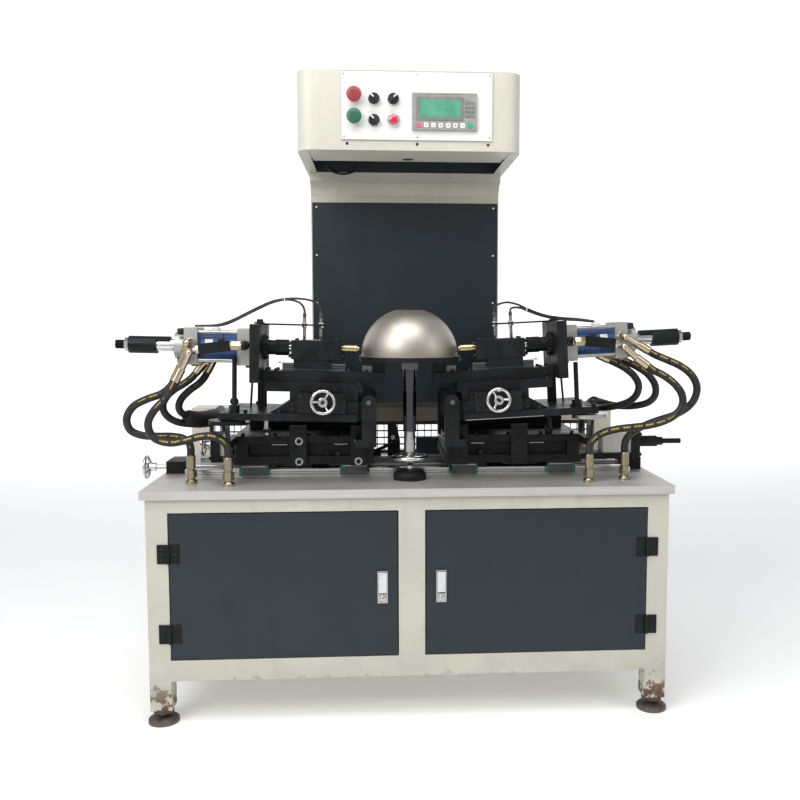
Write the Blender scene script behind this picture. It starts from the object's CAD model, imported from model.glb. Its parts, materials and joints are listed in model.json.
"""Two-sided hydraulic punching machine: paint and metal finishes, pressure hoses, sensor
cables, screws and fine parts round the fixed frame. Places are in millimetres, +X is the
operator's right and +Y is to the rear. A part of a punching unit is drawn for the right
side of an untilted unit and then put in its place."""

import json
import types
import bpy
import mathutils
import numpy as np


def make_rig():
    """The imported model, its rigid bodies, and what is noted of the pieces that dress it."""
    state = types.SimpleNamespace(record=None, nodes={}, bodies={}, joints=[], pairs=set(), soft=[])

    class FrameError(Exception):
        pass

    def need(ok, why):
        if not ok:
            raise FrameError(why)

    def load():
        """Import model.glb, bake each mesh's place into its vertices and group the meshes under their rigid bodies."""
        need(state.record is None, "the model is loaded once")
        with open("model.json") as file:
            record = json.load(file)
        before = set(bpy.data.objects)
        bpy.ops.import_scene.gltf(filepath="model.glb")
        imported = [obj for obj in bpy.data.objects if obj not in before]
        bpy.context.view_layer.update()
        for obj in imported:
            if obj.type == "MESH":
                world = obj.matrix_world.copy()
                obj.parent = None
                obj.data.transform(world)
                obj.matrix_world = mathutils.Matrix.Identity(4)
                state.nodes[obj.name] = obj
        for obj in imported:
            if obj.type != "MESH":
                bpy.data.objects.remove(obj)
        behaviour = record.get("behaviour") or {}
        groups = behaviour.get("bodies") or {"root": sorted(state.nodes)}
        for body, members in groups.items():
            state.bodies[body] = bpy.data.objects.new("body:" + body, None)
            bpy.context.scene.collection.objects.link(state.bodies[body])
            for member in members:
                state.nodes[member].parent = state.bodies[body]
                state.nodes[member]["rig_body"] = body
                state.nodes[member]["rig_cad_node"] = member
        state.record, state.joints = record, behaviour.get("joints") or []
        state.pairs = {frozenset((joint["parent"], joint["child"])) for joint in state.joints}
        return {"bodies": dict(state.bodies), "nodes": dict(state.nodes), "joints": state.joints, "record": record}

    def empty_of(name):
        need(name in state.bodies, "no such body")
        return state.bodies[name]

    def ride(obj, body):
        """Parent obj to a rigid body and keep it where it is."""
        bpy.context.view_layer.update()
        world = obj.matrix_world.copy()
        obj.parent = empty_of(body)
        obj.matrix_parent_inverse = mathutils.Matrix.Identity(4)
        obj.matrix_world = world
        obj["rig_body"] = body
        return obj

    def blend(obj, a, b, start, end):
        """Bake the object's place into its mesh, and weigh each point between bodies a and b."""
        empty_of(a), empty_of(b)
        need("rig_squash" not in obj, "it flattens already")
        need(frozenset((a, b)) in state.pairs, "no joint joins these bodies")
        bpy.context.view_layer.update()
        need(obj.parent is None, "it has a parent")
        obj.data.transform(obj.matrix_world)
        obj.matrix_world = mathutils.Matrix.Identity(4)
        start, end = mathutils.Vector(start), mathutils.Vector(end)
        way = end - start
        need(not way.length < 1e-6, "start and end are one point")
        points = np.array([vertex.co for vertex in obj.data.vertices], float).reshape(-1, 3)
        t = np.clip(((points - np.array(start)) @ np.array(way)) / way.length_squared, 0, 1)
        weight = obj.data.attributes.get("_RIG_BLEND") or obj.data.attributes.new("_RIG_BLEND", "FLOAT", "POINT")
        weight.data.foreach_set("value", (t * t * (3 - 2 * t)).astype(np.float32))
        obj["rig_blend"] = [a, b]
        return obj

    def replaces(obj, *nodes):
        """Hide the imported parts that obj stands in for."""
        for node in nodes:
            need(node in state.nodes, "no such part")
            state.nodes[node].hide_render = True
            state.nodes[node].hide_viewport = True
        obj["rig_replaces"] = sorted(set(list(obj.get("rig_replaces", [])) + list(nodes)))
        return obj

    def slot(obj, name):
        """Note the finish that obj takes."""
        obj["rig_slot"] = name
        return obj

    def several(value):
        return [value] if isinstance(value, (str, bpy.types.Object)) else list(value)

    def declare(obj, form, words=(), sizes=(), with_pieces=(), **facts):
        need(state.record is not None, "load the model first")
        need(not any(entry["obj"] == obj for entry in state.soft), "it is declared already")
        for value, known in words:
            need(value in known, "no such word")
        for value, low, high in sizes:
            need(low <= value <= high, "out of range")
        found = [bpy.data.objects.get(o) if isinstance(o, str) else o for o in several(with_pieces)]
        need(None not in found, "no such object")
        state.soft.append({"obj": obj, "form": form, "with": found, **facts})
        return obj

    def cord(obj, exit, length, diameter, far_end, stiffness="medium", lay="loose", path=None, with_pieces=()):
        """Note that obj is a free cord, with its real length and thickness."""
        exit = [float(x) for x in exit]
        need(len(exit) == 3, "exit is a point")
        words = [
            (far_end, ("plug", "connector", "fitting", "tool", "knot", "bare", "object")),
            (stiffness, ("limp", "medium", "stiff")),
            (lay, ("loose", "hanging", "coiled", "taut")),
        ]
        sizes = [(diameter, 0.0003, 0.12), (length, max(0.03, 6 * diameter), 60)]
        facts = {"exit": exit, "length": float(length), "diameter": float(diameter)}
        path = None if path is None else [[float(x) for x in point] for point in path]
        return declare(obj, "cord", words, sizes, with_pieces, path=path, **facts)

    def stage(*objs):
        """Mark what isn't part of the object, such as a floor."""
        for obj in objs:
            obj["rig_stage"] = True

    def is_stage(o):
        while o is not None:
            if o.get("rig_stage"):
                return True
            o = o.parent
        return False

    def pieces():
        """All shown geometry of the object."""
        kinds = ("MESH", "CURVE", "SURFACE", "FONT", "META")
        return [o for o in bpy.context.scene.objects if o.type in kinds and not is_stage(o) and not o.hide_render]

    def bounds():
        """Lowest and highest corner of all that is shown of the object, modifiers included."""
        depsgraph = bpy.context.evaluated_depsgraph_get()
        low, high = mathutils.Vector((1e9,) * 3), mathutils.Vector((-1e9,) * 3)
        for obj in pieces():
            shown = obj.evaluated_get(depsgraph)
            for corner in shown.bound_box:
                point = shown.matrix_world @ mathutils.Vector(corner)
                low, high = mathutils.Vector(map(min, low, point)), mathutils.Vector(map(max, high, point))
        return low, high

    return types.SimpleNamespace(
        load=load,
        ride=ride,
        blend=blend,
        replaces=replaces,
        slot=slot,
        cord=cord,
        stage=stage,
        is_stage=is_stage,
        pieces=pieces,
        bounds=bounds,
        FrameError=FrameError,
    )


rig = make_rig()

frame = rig.load()
CAD_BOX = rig.bounds()

import json
import math

import bmesh
import bpy
from bpy.props import FloatProperty, FloatVectorProperty, IntProperty, PointerProperty
from bpy.types import Operator, Panel, PropertyGroup
from mathutils import Matrix, Vector

bl_info = {
    "name": "Two-Sided Punching Machine",
    "version": (1, 0, 0),
    "blender": (4, 5, 0),
    "location": "3D View > Sidebar > Punching Machine",
    "description": "Finishes and fine parts of a two-sided hydraulic punching machine",
    "category": "Object",
}

SIDES = {"left": -1, "right": 1}
TILT = {-1: 1.3, 1: 3.0}
PIVOT = (120, 0, 905)
AXIS_Y = -240
AXIS_Z = 1055
TABLE_Z = 670
# steps in the length of a thin cable, and the diameter of the one in the head
CABLE_STEPS = 60
HEAD_CABLE = 0.0064
FINISH = {}


# ---------- sizes and colours a user would change ----------


def colour(label, text, value):
    return FloatVectorProperty(
        name=label, description=text, default=value, subtype="COLOR", size=3, min=0, max=1
    )


def length(label, text, value, low, high):
    return FloatProperty(
        name=label, description=text, default=value, min=low, max=high, unit="LENGTH", precision=4
    )


class MachinePaint(PropertyGroup):
    """Colours of the painted and plated surfaces."""

    cream: colour("Cream", "Powder coat of the frame, column and head", (0.565, 0.548, 0.468))
    slate: colour("Slate", "Powder coat of the doors and the column panel", (0.0085, 0.0165, 0.0235))
    black: colour("Black oxide", "Blackened steel of the punching units", (0.0050, 0.0053, 0.0058))
    barrel: colour("Barrel", "Coat of the cylinder tubes", (0.034, 0.088, 0.225))
    plating: colour("Plating", "Yellow plating of the hose fittings", (0.42, 0.355, 0.245))
    nose: colour("Punch", "Bronze of the punch holders", (0.56, 0.46, 0.27))


class HoseSizes(PropertyGroup):
    """Sizes of the pressure hoses and their marking."""

    diameter: length("Hose diameter", "Outside diameter of a pressure hose", 0.022, 0.016, 0.022)
    spacing: length("Ring spacing", "Distance between two rings of a hose's mesh", 0.008, 0.004, 0.02)
    sides: IntProperty(name="Sides", description="Corners round a hose", default=20, min=8, max=32)
    dash: length("Dash", "Length of one mark and its gap along a hose", 0.034, 0.01, 0.1)
    marking: colour("Marking", "Colour of the broken line along a hose", (0.50, 0.33, 0.06))


class TrimSizes(PropertyGroup):
    """Sizes of the screws and other fine parts."""

    cap_screw: length("Cap screw", "Head diameter of the socket screws on the units", 0.013, 0.008, 0.02)
    sheet_screw: length(
        "Sheet screw", "Head diameter of the screws in the sheet metal", 0.008, 0.004, 0.012,
    )
    cable: length("Cable", "Diameter of a sensor cable", 0.0062, 0.003, 0.008)
    seal: length("End seal", "Thickness of a carriage's end seal", 0.007, 0.004, 0.01)


class StageLook(PropertyGroup):
    """Floor, light and camera."""

    floor: colour("Floor", "Colour of the floor", (0.90, 0.90, 0.895))
    sky: FloatProperty(
        name="Sky", description="Strength of the surrounding light", default=0.6, min=0, max=3,
    )
    key: FloatProperty(
        name="Key light", description="Power of the large front light", default=72, min=0, max=900,
        subtype="POWER",
    )
    glow: FloatProperty(
        name="Backdrop glow", description="Light of its own that the backdrop gives", default=0.66, min=0,
        max=1,
    )
    lens: FloatProperty(
        name="Lens", description="Focal length of the camera in millimetres", default=39.6, min=18, max=120,
    )


# ---------- shader maths ----------


class Value:
    """A node's output that takes part in sums."""

    def __init__(self, tree, socket):
        self.tree = tree
        self.socket = socket

    def sum(self, operation, other, flip=False):
        pair = (other, self) if flip else (self, other)
        return self.tree.node("ShaderNodeMath", {"operation": operation}, {0: pair[0], 1: pair[1]})

    def __add__(self, other):
        return self.sum("ADD", other)

    def __mul__(self, other):
        return self.sum("MULTIPLY", other)

    def __sub__(self, other):
        return self.sum("SUBTRACT", other)

    def __rsub__(self, other):
        return self.sum("SUBTRACT", other, flip=True)

    def __pow__(self, other):
        return self.sum("POWER", other)

    def __gt__(self, other):
        return self.sum("GREATER_THAN", other)

    def __lt__(self, other):
        return self.sum("LESS_THAN", other)

    __radd__ = __add__
    __rmul__ = __mul__


class Tree:
    """A node tree with one way of adding a node."""

    def __init__(self, tree):
        self.tree = tree

    def node(self, kind, settings=None, inputs=None, out=0):
        made = self.tree.nodes.new(kind)
        for name, value in (settings or {}).items():
            if name == "stops":
                ramp = made.color_ramp
                while len(ramp.elements) < len(value):
                    ramp.elements.new(0.5)
                for element, (place, tint) in zip(ramp.elements, value):
                    element.position = place
                    element.color = (*tint, 1) if isinstance(tint, tuple) else (tint, tint, tint, 1)
            else:
                setattr(made, name, value)
        for name, value in (inputs or {}).items():
            self.feed(made.inputs[name], value)
        return Value(self, made.outputs[out]) if made.outputs else made

    def feed(self, socket, value):
        if isinstance(value, Value):
            self.tree.links.new(value.socket, socket)
        elif value is not None:
            if isinstance(value, tuple) and len(value) == 3 and socket.type == "RGBA":
                value = (*value, 1)
            socket.default_value = value


class Recipe(Tree):
    """A material in the making."""

    def __init__(self, name):
        self.material = bpy.data.materials.new(name)
        self.material.use_nodes = True
        super().__init__(self.material.node_tree)
        self.tree.nodes.clear()
        self.here = self.node("ShaderNodeTexCoord", out=3)

    def stretched(self, scale, source=None):
        return self.node(
            "ShaderNodeVectorMath", {"operation": "MULTIPLY"}, {0: source or self.here, 1: scale},
        )

    def noise(self, scale, detail=3, rough=0.55, source=None, warp=0.0):
        if not isinstance(scale, tuple):
            scale = (scale, scale, scale)
        return self.node(
            "ShaderNodeTexNoise",
            None,
            {
                "Vector": self.stretched(scale, source), "Scale": 1.0, "Detail": detail, "Roughness": rough,
                "Distortion": warp,
            },
        )

    def ramp(self, value, low, high, start=0.0, end=1.0):
        """The value, spread from start to end between low and high."""
        return self.node(
            "ShaderNodeMapRange",
            {"interpolation_type": "SMOOTHSTEP"},
            {"Value": value, "From Min": low, "From Max": high, "To Min": start, "To Max": end},
        )

    def blend(self, amount, first, second, how="MIX"):
        return self.node(
            "ShaderNodeMix", {
                "data_type": "RGBA", "blend_type": how,
            }, {0: amount, 6: first, 7: second}, out=2
        )

    def axis(self, k, source=None):
        return self.node("ShaderNodeSeparateXYZ", None, {0: source or self.here}, out=k)

    def soft_edge(self, radius):
        """The surface direction with every hard edge rounded by radius."""
        return self.node("ShaderNodeBevel", {"samples": 3}, {"Radius": radius})

    def edge(self, rounded):
        """Near one on a hard edge and nothing on the flat."""
        flat = self.node("ShaderNodeNewGeometry", out=1)
        alike = self.node(
            "ShaderNodeVectorMath", {"operation": "DOT_PRODUCT"}, {0: rounded, 1: flat}, out=1,
        )
        return self.ramp(1.0 - alike, 0.004, 0.16)

    def bump(self, height, strength, depth=0.001, normal=None):
        return self.node(
            "ShaderNodeBump", None,
            {"Strength": strength, "Distance": depth, "Height": height, "Normal": normal},
        )

    def surface(self, **sockets):
        shader = self.node(
            "ShaderNodeBsdfPrincipled", None,
            {name.replace("_", " "): value for name, value in sockets.items()}
        )
        self.node("ShaderNodeOutputMaterial", None, {"Surface": shader})
        return self.material


def painted(name, tint, gloss, grime, rust=0.0):
    """Powder coat: orange peel, faint smears, dirt on edges, and rust chips low on the legs."""
    r = Recipe(name)
    rounded = r.soft_edge(0.0016)
    cloud = r.noise(5.0, 4)
    streak = r.noise((26.0, 26.0, 2.2), 3)
    speck = r.noise(160.0, 2, 0.7)
    tone = r.blend(
        r.ramp(cloud, 0.3, 0.75, 0.0, 1.0), tuple(c * 0.94 for c in tint),
        tuple(min(1, c * 1.04) for c in tint),
    )
    dirt = r.ramp(streak, 0.52, 0.8) * grime + r.ramp(speck, 0.68, 0.78) * (grime * 0.8)
    tone = r.blend(dirt, tone, tuple(c * 0.55 for c in tint))
    worn = r.edge(rounded) * r.ramp(r.noise(38.0, 4), 0.45, 0.62)
    tone = r.blend(worn * (0.35 + 0.3 * rust), tone, tuple(0.5 * c + 0.06 for c in tint))
    if rust:
        low = r.ramp(r.axis(2), 0.05, 0.19, 1.0, 0.0)
        chips = r.ramp(r.noise(42.0, 6, 0.68) + low * 0.2, 0.66, 0.71) * low * rust
        tone = r.blend(chips, tone, r.blend(r.noise(90.0, 3), (0.05, 0.03, 0.018), (0.19, 0.085, 0.035)))
        shade = r.ramp(r.axis(2), 0.02, 0.22, 0.5, 0.0)
        tone = r.blend(
            shade * r.ramp(r.noise((9.0, 9.0, 14.0), 4), 0.35, 0.7), tone, tuple(c * 0.42 for c in tint),
        )
        gloss = r.blend(chips, (gloss, gloss, gloss), (0.85, 0.85, 0.85))
    else:
        gloss = r.ramp(r.noise((14.0, 14.0, 7.0), 4), 0.3, 0.75, gloss - 0.07, gloss + 0.1)
    peel = r.bump(r.noise(620.0, 2), 0.12, 0.0004, rounded)
    return r.surface(Base_Color=tone, Roughness=gloss, Normal=peel)


def blackened(name, tint, wear=0.55, rough=0.42):
    """Oil-blackened steel: milling lines, oily patches, bright worn edges and fine scratches."""
    r = Recipe(name)
    rounded = r.soft_edge(0.0009)
    oil = r.noise(17.0, 5, 0.6, warp=0.6)
    lines = r.noise((11.0, 420.0, 420.0), 2)
    scratch = r.noise((70.0, 9.0, 300.0), 2, 0.8)
    tone = r.blend(r.ramp(oil, 0.3, 0.72), tint, tuple(c * 1.9 + 0.004 for c in tint))
    tone = r.blend(r.ramp(scratch, 0.71, 0.8) * 0.2, tone, (0.06, 0.06, 0.063))
    bare = r.edge(rounded) * r.ramp(r.noise(55.0, 5, 0.65), 0.42, 0.66) * wear
    tone = r.blend(bare, tone, (0.17, 0.17, 0.175))
    dull = r.ramp(oil, 0.28, 0.74, rough - 0.12, rough + 0.14)
    grain = r.bump(lines, 0.08, 0.0003, rounded)
    return r.surface(Base_Color=tone, Metallic=0.12, Roughness=dull, Specular_IOR_Level=0.24, Normal=grain)


def ground(name, tint, along, rough, contrast=0.12, bump=0.1, stain=0.0, metal=1.0):
    """Bare steel with its grinding lines along one axis."""
    r = Recipe(name)
    rounded = r.soft_edge(0.0006)
    fine = tuple(3.0 if k == along else 900.0 for k in range(3))
    wide = tuple(1.2 if k == along else 60.0 for k in range(3))
    lines = r.noise(fine, 2, 0.7)
    bands = r.noise(wide, 3)
    patch = r.noise(7.0, 4)
    tone = r.blend(
        r.ramp(lines, 0.3, 0.7), tuple(c * (1 - contrast) for c in tint),
        tuple(min(1, c * (1 + contrast)) for c in tint),
    )
    tone = r.blend(r.ramp(bands, 0.35, 0.75) * 0.35, tone, tuple(c * 0.7 for c in tint))
    if stain:
        tone = r.blend(r.ramp(patch, 0.5, 0.74) * stain, tone, (0.40, 0.35, 0.28))
    dull = r.ramp(lines * 0.5 + patch * 0.5, 0.3, 0.7, rough - 0.08, rough + 0.1)
    return r.surface(
        Base_Color=tone, Metallic=metal, Roughness=dull, Normal=r.bump(lines, bump, 0.0002, rounded),
    )


def plated(name, tint, rough, cloudy=0.25):
    """Bright plating with smudges and a little unevenness."""
    r = Recipe(name)
    smudge = r.noise(48.0, 4, 0.6)
    tone = r.blend(r.ramp(smudge, 0.35, 0.75) * cloudy, tint, tuple(c * 0.6 for c in tint))
    dull = r.ramp(smudge, 0.3, 0.8, max(0.03, rough - 0.05), rough + 0.14)
    return r.surface(
        Base_Color=tone, Metallic=1.0, Roughness=dull, Normal=r.bump(
            r.noise(210.0, 2), 0.05, 0.0003, r.soft_edge(0.0007),
        )
    )


def spun_bowl(name):
    """Pressed stainless steel: rings from spinning, a soft brown cast low down and a crease."""
    r = Recipe(name)
    x, y, z = (r.axis(k) for k in range(3))
    wide = (x * x + (y - AXIS_Y / 1000) * (y - AXIS_Y / 1000)) ** 0.5
    ring = r.node("ShaderNodeCombineXYZ", None, {0: wide * 520.0, 1: z * 520.0, 2: 0.0})
    lines = r.node("ShaderNodeTexNoise", None, {"Vector": ring, "Scale": 1.0, "Detail": 2.0})
    haze = r.noise((9.0, 9.0, 5.0), 4)
    low = r.ramp(z, 1.034, 1.105, 1.0, 0.0)
    tone = r.blend(r.ramp(haze, 0.3, 0.75), (0.47, 0.435, 0.385), (0.60, 0.565, 0.52))
    tone = r.blend(low * 0.65, tone, (0.31, 0.265, 0.205))
    tone = r.blend(r.ramp(lines, 0.42, 0.66) * 0.3, tone, (0.36, 0.33, 0.29))
    dull = r.ramp(haze, 0.3, 0.75, 0.42, 0.52)
    return r.surface(Base_Color=tone, Metallic=1.0, Roughness=dull, Normal=r.bump(lines, 0.1, 0.0002))


def moulded(name, tint, rough, coat=0.0, grain=0.08):
    """Moulded plastic with a fine grain and fingermarks."""
    r = Recipe(name)
    mark = r.noise(60.0, 4)
    tone = r.blend(
        r.ramp(mark, 0.3, 0.75), tuple(c * 0.86 for c in tint), tuple(
            min(1, c * 1.1 + 0.003)
            for c in tint
        ),
    )
    dull = r.ramp(mark, 0.3, 0.8, rough - 0.06, rough + 0.1)
    return r.surface(
        Base_Color=tone, Roughness=dull, Coat_Weight=coat, Normal=r.bump(
            r.noise(1100.0, 1), grain, 0.0002, r.soft_edge(0.0008),
        )
    )


def hose_cover(name, sizes):
    """Wrapped rubber hose with the weave of its wrapping and a broken line of marks without letters."""
    r = Recipe(name)
    along = r.node("ShaderNodeAttribute", {"attribute_name": "along"}, out=2)
    side = r.node("ShaderNodeAttribute", {"attribute_name": "side"}, out=1)
    x, y = r.axis(0, side), r.axis(1, side)
    front = r.node("ShaderNodeTexCoord", out=1)
    facing = r.node(
        "ShaderNodeVectorMath", {"operation": "DOT_PRODUCT"}, {0: front, 1: (0.0, -0.96, 0.28)}, out=1,
    )
    weave = r.node(
        "ShaderNodeTexWave", {"wave_type": "BANDS", "bands_direction": "DIAGONAL"},
        {
            "Vector": r.node("ShaderNodeCombineXYZ", None, {0: along * 160.0, 1: x * 1.6, 2: y * 1.6}),
            "Scale": 1.0, "Distortion": 1.5, "Detail": 2.0,
        },
    )
    dust = r.noise(46.0, 5, 0.65)
    tone = r.blend(r.ramp(dust, 0.4, 0.75), (0.0105, 0.0105, 0.011), (0.034, 0.032, 0.03))
    strip = (facing > 0.972)
    step = r.node("ShaderNodeMath", {"operation": "FRACT"}, {0: along * (1.0 / sizes.dash)})
    fine = r.node("ShaderNodeMath", {"operation": "FRACT"}, {0: along * (4.6 / sizes.dash)})
    mark = strip * (step < 0.72) * (fine > 0.24) * r.ramp(dust, 0.25, 0.5, 0.35, 1.0)
    tone = r.blend(mark, tone, tuple(sizes.marking))
    return r.surface(
        Base_Color=tone, Roughness=r.ramp(dust, 0.3, 0.7, 0.4, 0.56), Specular_IOR_Level=0.42,
        Normal=r.bump(weave, 0.14, 0.0004),
    )


def display_glass(name):
    """Green liquid crystal screen with a soft sheen and faint cells."""
    r = Recipe(name)
    cells = r.noise((900.0, 1.0, 900.0), 0)
    haze = r.noise((24.0, 24.0, 18.0), 3)
    tone = r.blend(r.ramp(haze, 0.3, 0.7), (0.055, 0.25, 0.155), (0.10, 0.36, 0.235))
    tone = r.blend(cells * 0.12, tone, (0.02, 0.12, 0.07))
    return r.surface(Base_Color=tone, Roughness=0.22, Coat_Weight=1.0, Coat_Roughness=0.05)


def patched_band(name):
    """Blue lacquered cylinder tube."""
    tint = tuple(bpy.context.scene.punch_paint.barrel)
    r = Recipe(name)
    lines = r.noise((700.0, 12.0, 12.0), 2)
    cloud = r.noise(24.0, 4)
    tone = r.blend(
        r.ramp(cloud, 0.3, 0.75), tuple(c * 0.75 for c in tint), tuple(min(1, c * 1.25) for c in tint),
    )
    return r.surface(
        Base_Color=tone, Metallic=0.2, Roughness=r.ramp(cloud, 0.3, 0.8, 0.40, 0.52),
        Normal=r.bump(lines, 0.06, 0.0002)
    )


def scuffed_foot(name):
    """Cast foot: brown rust over black, dusty from the floor."""
    r = Recipe(name)
    patch = r.noise(60.0, 6, 0.7)
    tone = r.blend(r.ramp(patch, 0.38, 0.64), (0.035, 0.032, 0.03), (0.13, 0.085, 0.055))
    tone = r.blend(r.ramp(r.axis(2), 0.0, 0.02, 0.55, 0.0), tone, (0.20, 0.18, 0.155))
    return r.surface(
        Base_Color=tone, Metallic=0.3, Roughness=r.ramp(patch, 0.3, 0.7, 0.45, 0.75),
        Normal=r.bump(patch, 0.3, 0.001, r.soft_edge(0.001)),
    )


# ---------- solids gathered in one mesh ----------


def put(points):
    return [Vector(p) / 1000 for p in points]


def unit(side):
    """Where a unit that is drawn on the right and untilted stands in the machine."""
    pivot = Matrix.Translation(Vector(PIVOT) / 1000)
    turned = pivot @ Matrix.Rotation(-math.radians(TILT[side]), 4, "Y") @ pivot.inverted()
    return Matrix.Scale(-1, 4, (1, 0, 0)) @ turned if side < 0 else turned


def mirrored(side):
    """Where a part of an untilted saddle stands."""
    return Matrix.Scale(-1, 4, (1, 0, 0)) if side < 0 else Matrix.Identity(4)


def frame_of(aim):
    """Two directions square to aim."""
    aim = Vector(aim).normalized()
    first = aim.cross(Vector((0, 1, 0)) if abs(aim.y) < 0.8 else Vector((1, 0, 0))).normalized()
    return first, aim.cross(first)


class Solids:
    """Solids in one mesh, each with its own finish."""

    def __init__(self, place=None):
        self.place = place or Matrix.Identity(4)
        self.verts, self.faces, self.kinds, self.finishes = [], [], [], []

    def add(self, points, faces, finish):
        if finish not in self.finishes:
            self.finishes.append(finish)
        start = len(self.verts)
        self.verts += [self.place @ p for p in put(points)]
        turn = -1 if self.place.determinant() < 0 else 1
        for face in faces:
            self.faces.append([start + k for k in face][::turn])
            self.kinds.append(self.finishes.index(finish))

    def hull(self, points, finish):
        made = bmesh.new()
        for p in points:
            made.verts.new(p)
        bmesh.ops.convex_hull(made, input=made.verts)
        bmesh.ops.dissolve_limit(made, angle_limit=0.01, verts=made.verts, edges=made.edges)
        loose = [v for v in made.verts if not v.link_faces]
        bmesh.ops.delete(made, geom=loose, context="VERTS")
        bmesh.ops.recalc_face_normals(made, faces=made.faces)
        made.verts.index_update()
        self.add(
            [v.co.copy() for v in made.verts], [[v.index for v in f.verts] for f in made.faces], finish,
        )
        made.free()

    def box(self, low, high, finish, chamfer=0.6):
        """A block with broken edges."""
        low, high = [min(a, b) for a, b in zip(low, high)], [max(a, b) for a, b in zip(low, high)]
        c = min(chamfer, min(h - l for l, h in zip(low, high)) * 0.3)
        points = []
        for k in range(3):
            for corner in range(8):
                p = [high[i] if corner >> i & 1 else low[i] for i in range(3)]
                points.append(
                    [v if i == k else v + (-c if corner >> i & 1 else c)
                    for i, v in enumerate(p)]
                )
        self.hull(points, finish)

    def slab(self, outline, axis, start, end, finish, chamfer=0.5):
        """An outline pushed along an axis, with broken edges; the outline bulges nowhere inwards."""
        middle = [sum(p[i] for p in outline) / len(outline) for i in range(2)]
        rows = []
        for level, inset in ((start, 1), (start + chamfer, 0), (end - chamfer, 0), (end, 1)):
            for a, b in outline:
                reach = math.hypot(a - middle[0], b - middle[1]) or 1
                k = 1 - chamfer * inset / reach
                p = [middle[0] + (a - middle[0]) * k, middle[1] + (b - middle[1]) * k]
                p.insert(axis, level)
                rows.append(p)
        self.hull(rows, finish)

    def turned(self, start, aim, profile, finish, sides=28):
        """A profile of (radius, distance) pairs turned round a line from start."""
        aim = Vector(aim).normalized()
        first, second = frame_of(aim)
        start = Vector(start)
        points, faces, rows = [], [], []
        ringed = profile[0] == profile[-1]
        if ringed:
            profile = profile[:-1]
        for radius, along in profile:
            if radius < 1e-6:
                rows.append([len(points)])
                points.append(start + aim * along)
                continue
            rows.append(list(range(len(points), len(points) + sides)))
            for k in range(sides):
                a = 2 * math.pi * k / sides
                points.append(start + aim * along + (first * math.cos(a) + second * math.sin(a)) * radius)
        for low, high in zip(rows, rows[1:] + rows[:1] if ringed else rows[1:]):
            for k in range(sides):
                n = (k + 1) % sides
                if len(low) == 1 and len(high) > 1:
                    faces.append([low[0], high[n], high[k]])
                elif len(high) == 1 and len(low) > 1:
                    faces.append([low[k], low[n], high[0]])
                elif len(low) > 1:
                    faces.append([low[k], low[n], high[n], high[k]])
        if len(rows[0]) > 1 and not ringed:
            faces.append(rows[0][::-1])
        if len(rows[-1]) > 1 and not ringed:
            faces.append(rows[-1])
        self.add(points, faces, finish)

    def rod(self, start, end, radius, finish, chamfer=0.5, sides=28):
        way = Vector(end) - Vector(start)
        c = min(chamfer, way.length * 0.4, radius * 0.4)
        self.turned(
            start, way,
            [
                (0, 0), (radius - c, 0), (radius, c), (radius, way.length - c), (radius - c, way.length),
                (0, way.length),
            ],
            finish, sides,
        )

    def prism(self, start, end, across, finish, corners=6, spin=0.0):
        """A hexagon or square bar."""
        way = Vector(end) - Vector(start)
        first, second = frame_of(way)
        reach = across / 2 / math.cos(math.pi / corners)
        points = []
        for along, k in ((0, 0.93), (0.06, 1), (0.94, 1), (1, 0.93)):
            for n in range(corners):
                a = 2 * math.pi * (n + 0.5) / corners + spin
                points.append(
                    Vector(start) + way * along + (first * math.cos(a) + second * math.sin(a)) * reach * k
                )
        self.hull(points, finish)

    def ring(self, middle, aim, reach, radius, finish, sides=40, corners=10):
        first, second = frame_of(aim)
        aim = Vector(aim).normalized()
        points, faces = [], []
        for k in range(sides):
            a = 2 * math.pi * k / sides
            out = first * math.cos(a) + second * math.sin(a)
            for n in range(corners):
                b = 2 * math.pi * n / corners
                points.append(
                    Vector(middle) + out * (reach + radius * math.cos(b)) + aim * radius * math.sin(b)
                )
        for k in range(sides):
            for n in range(corners):
                q, m = (k + 1) % sides, (n + 1) % corners
                faces.append([k * corners + n, q * corners + n, q * corners + m, k * corners + m])
        self.add(points, faces, finish)

    def sweep(self, path, radius, finish, sides=12):
        """A round tube along points, closed at both ends."""
        path = [Vector(p) for p in path]
        points, faces = [], []
        first = None
        for i, p in enumerate(path):
            way = (path[min(i + 1, len(path) - 1)] - path[max(i - 1, 0)]).normalized()
            first = frame_of(way)[0] if first is None else (first - way * first.dot(way)).normalized()
            second = way.cross(first)
            r = radius[i] if isinstance(radius, (list, tuple)) else radius
            for k in range(sides):
                a = 2 * math.pi * k / sides
                points.append(p + (first * math.cos(a) + second * math.sin(a)) * r)
        for i in range(len(path) - 1):
            for k in range(sides):
                n = (k + 1) % sides
                faces.append([i * sides + k, i * sides + n, (i + 1) * sides + n, (i + 1) * sides + k])
        faces.append(list(range(sides))[::-1])
        faces.append([(len(path) - 1) * sides + k for k in range(sides)])
        self.add(points, faces, finish)

    def curved_plate(self, span, middle, reach, angles, finish, steps=14):
        """A part of a tube along X; angles are in degrees from the rear, upwards."""
        points, faces = [], []
        for k in range(steps + 1):
            a = math.radians(angles[0] + (angles[1] - angles[0]) * k / steps)
            for x in span:
                for r in reach:
                    points.append((x, middle[0] + r * math.cos(a), middle[1] + r * math.sin(a)))
        for k in range(steps):
            a, b = 4 * k, 4 * k + 4
            faces += [
                [a, b, b + 1, a + 1], [a + 2, a + 3, b + 3, b + 2], [a + 1, b + 1, b + 3, a + 3],
                [a, a + 2, b + 2, b],
            ]
        end = 4 * steps
        faces += [[0, 1, 3, 2], [end, end + 2, end + 3, end + 1]]
        self.add(points, faces, finish)

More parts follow.
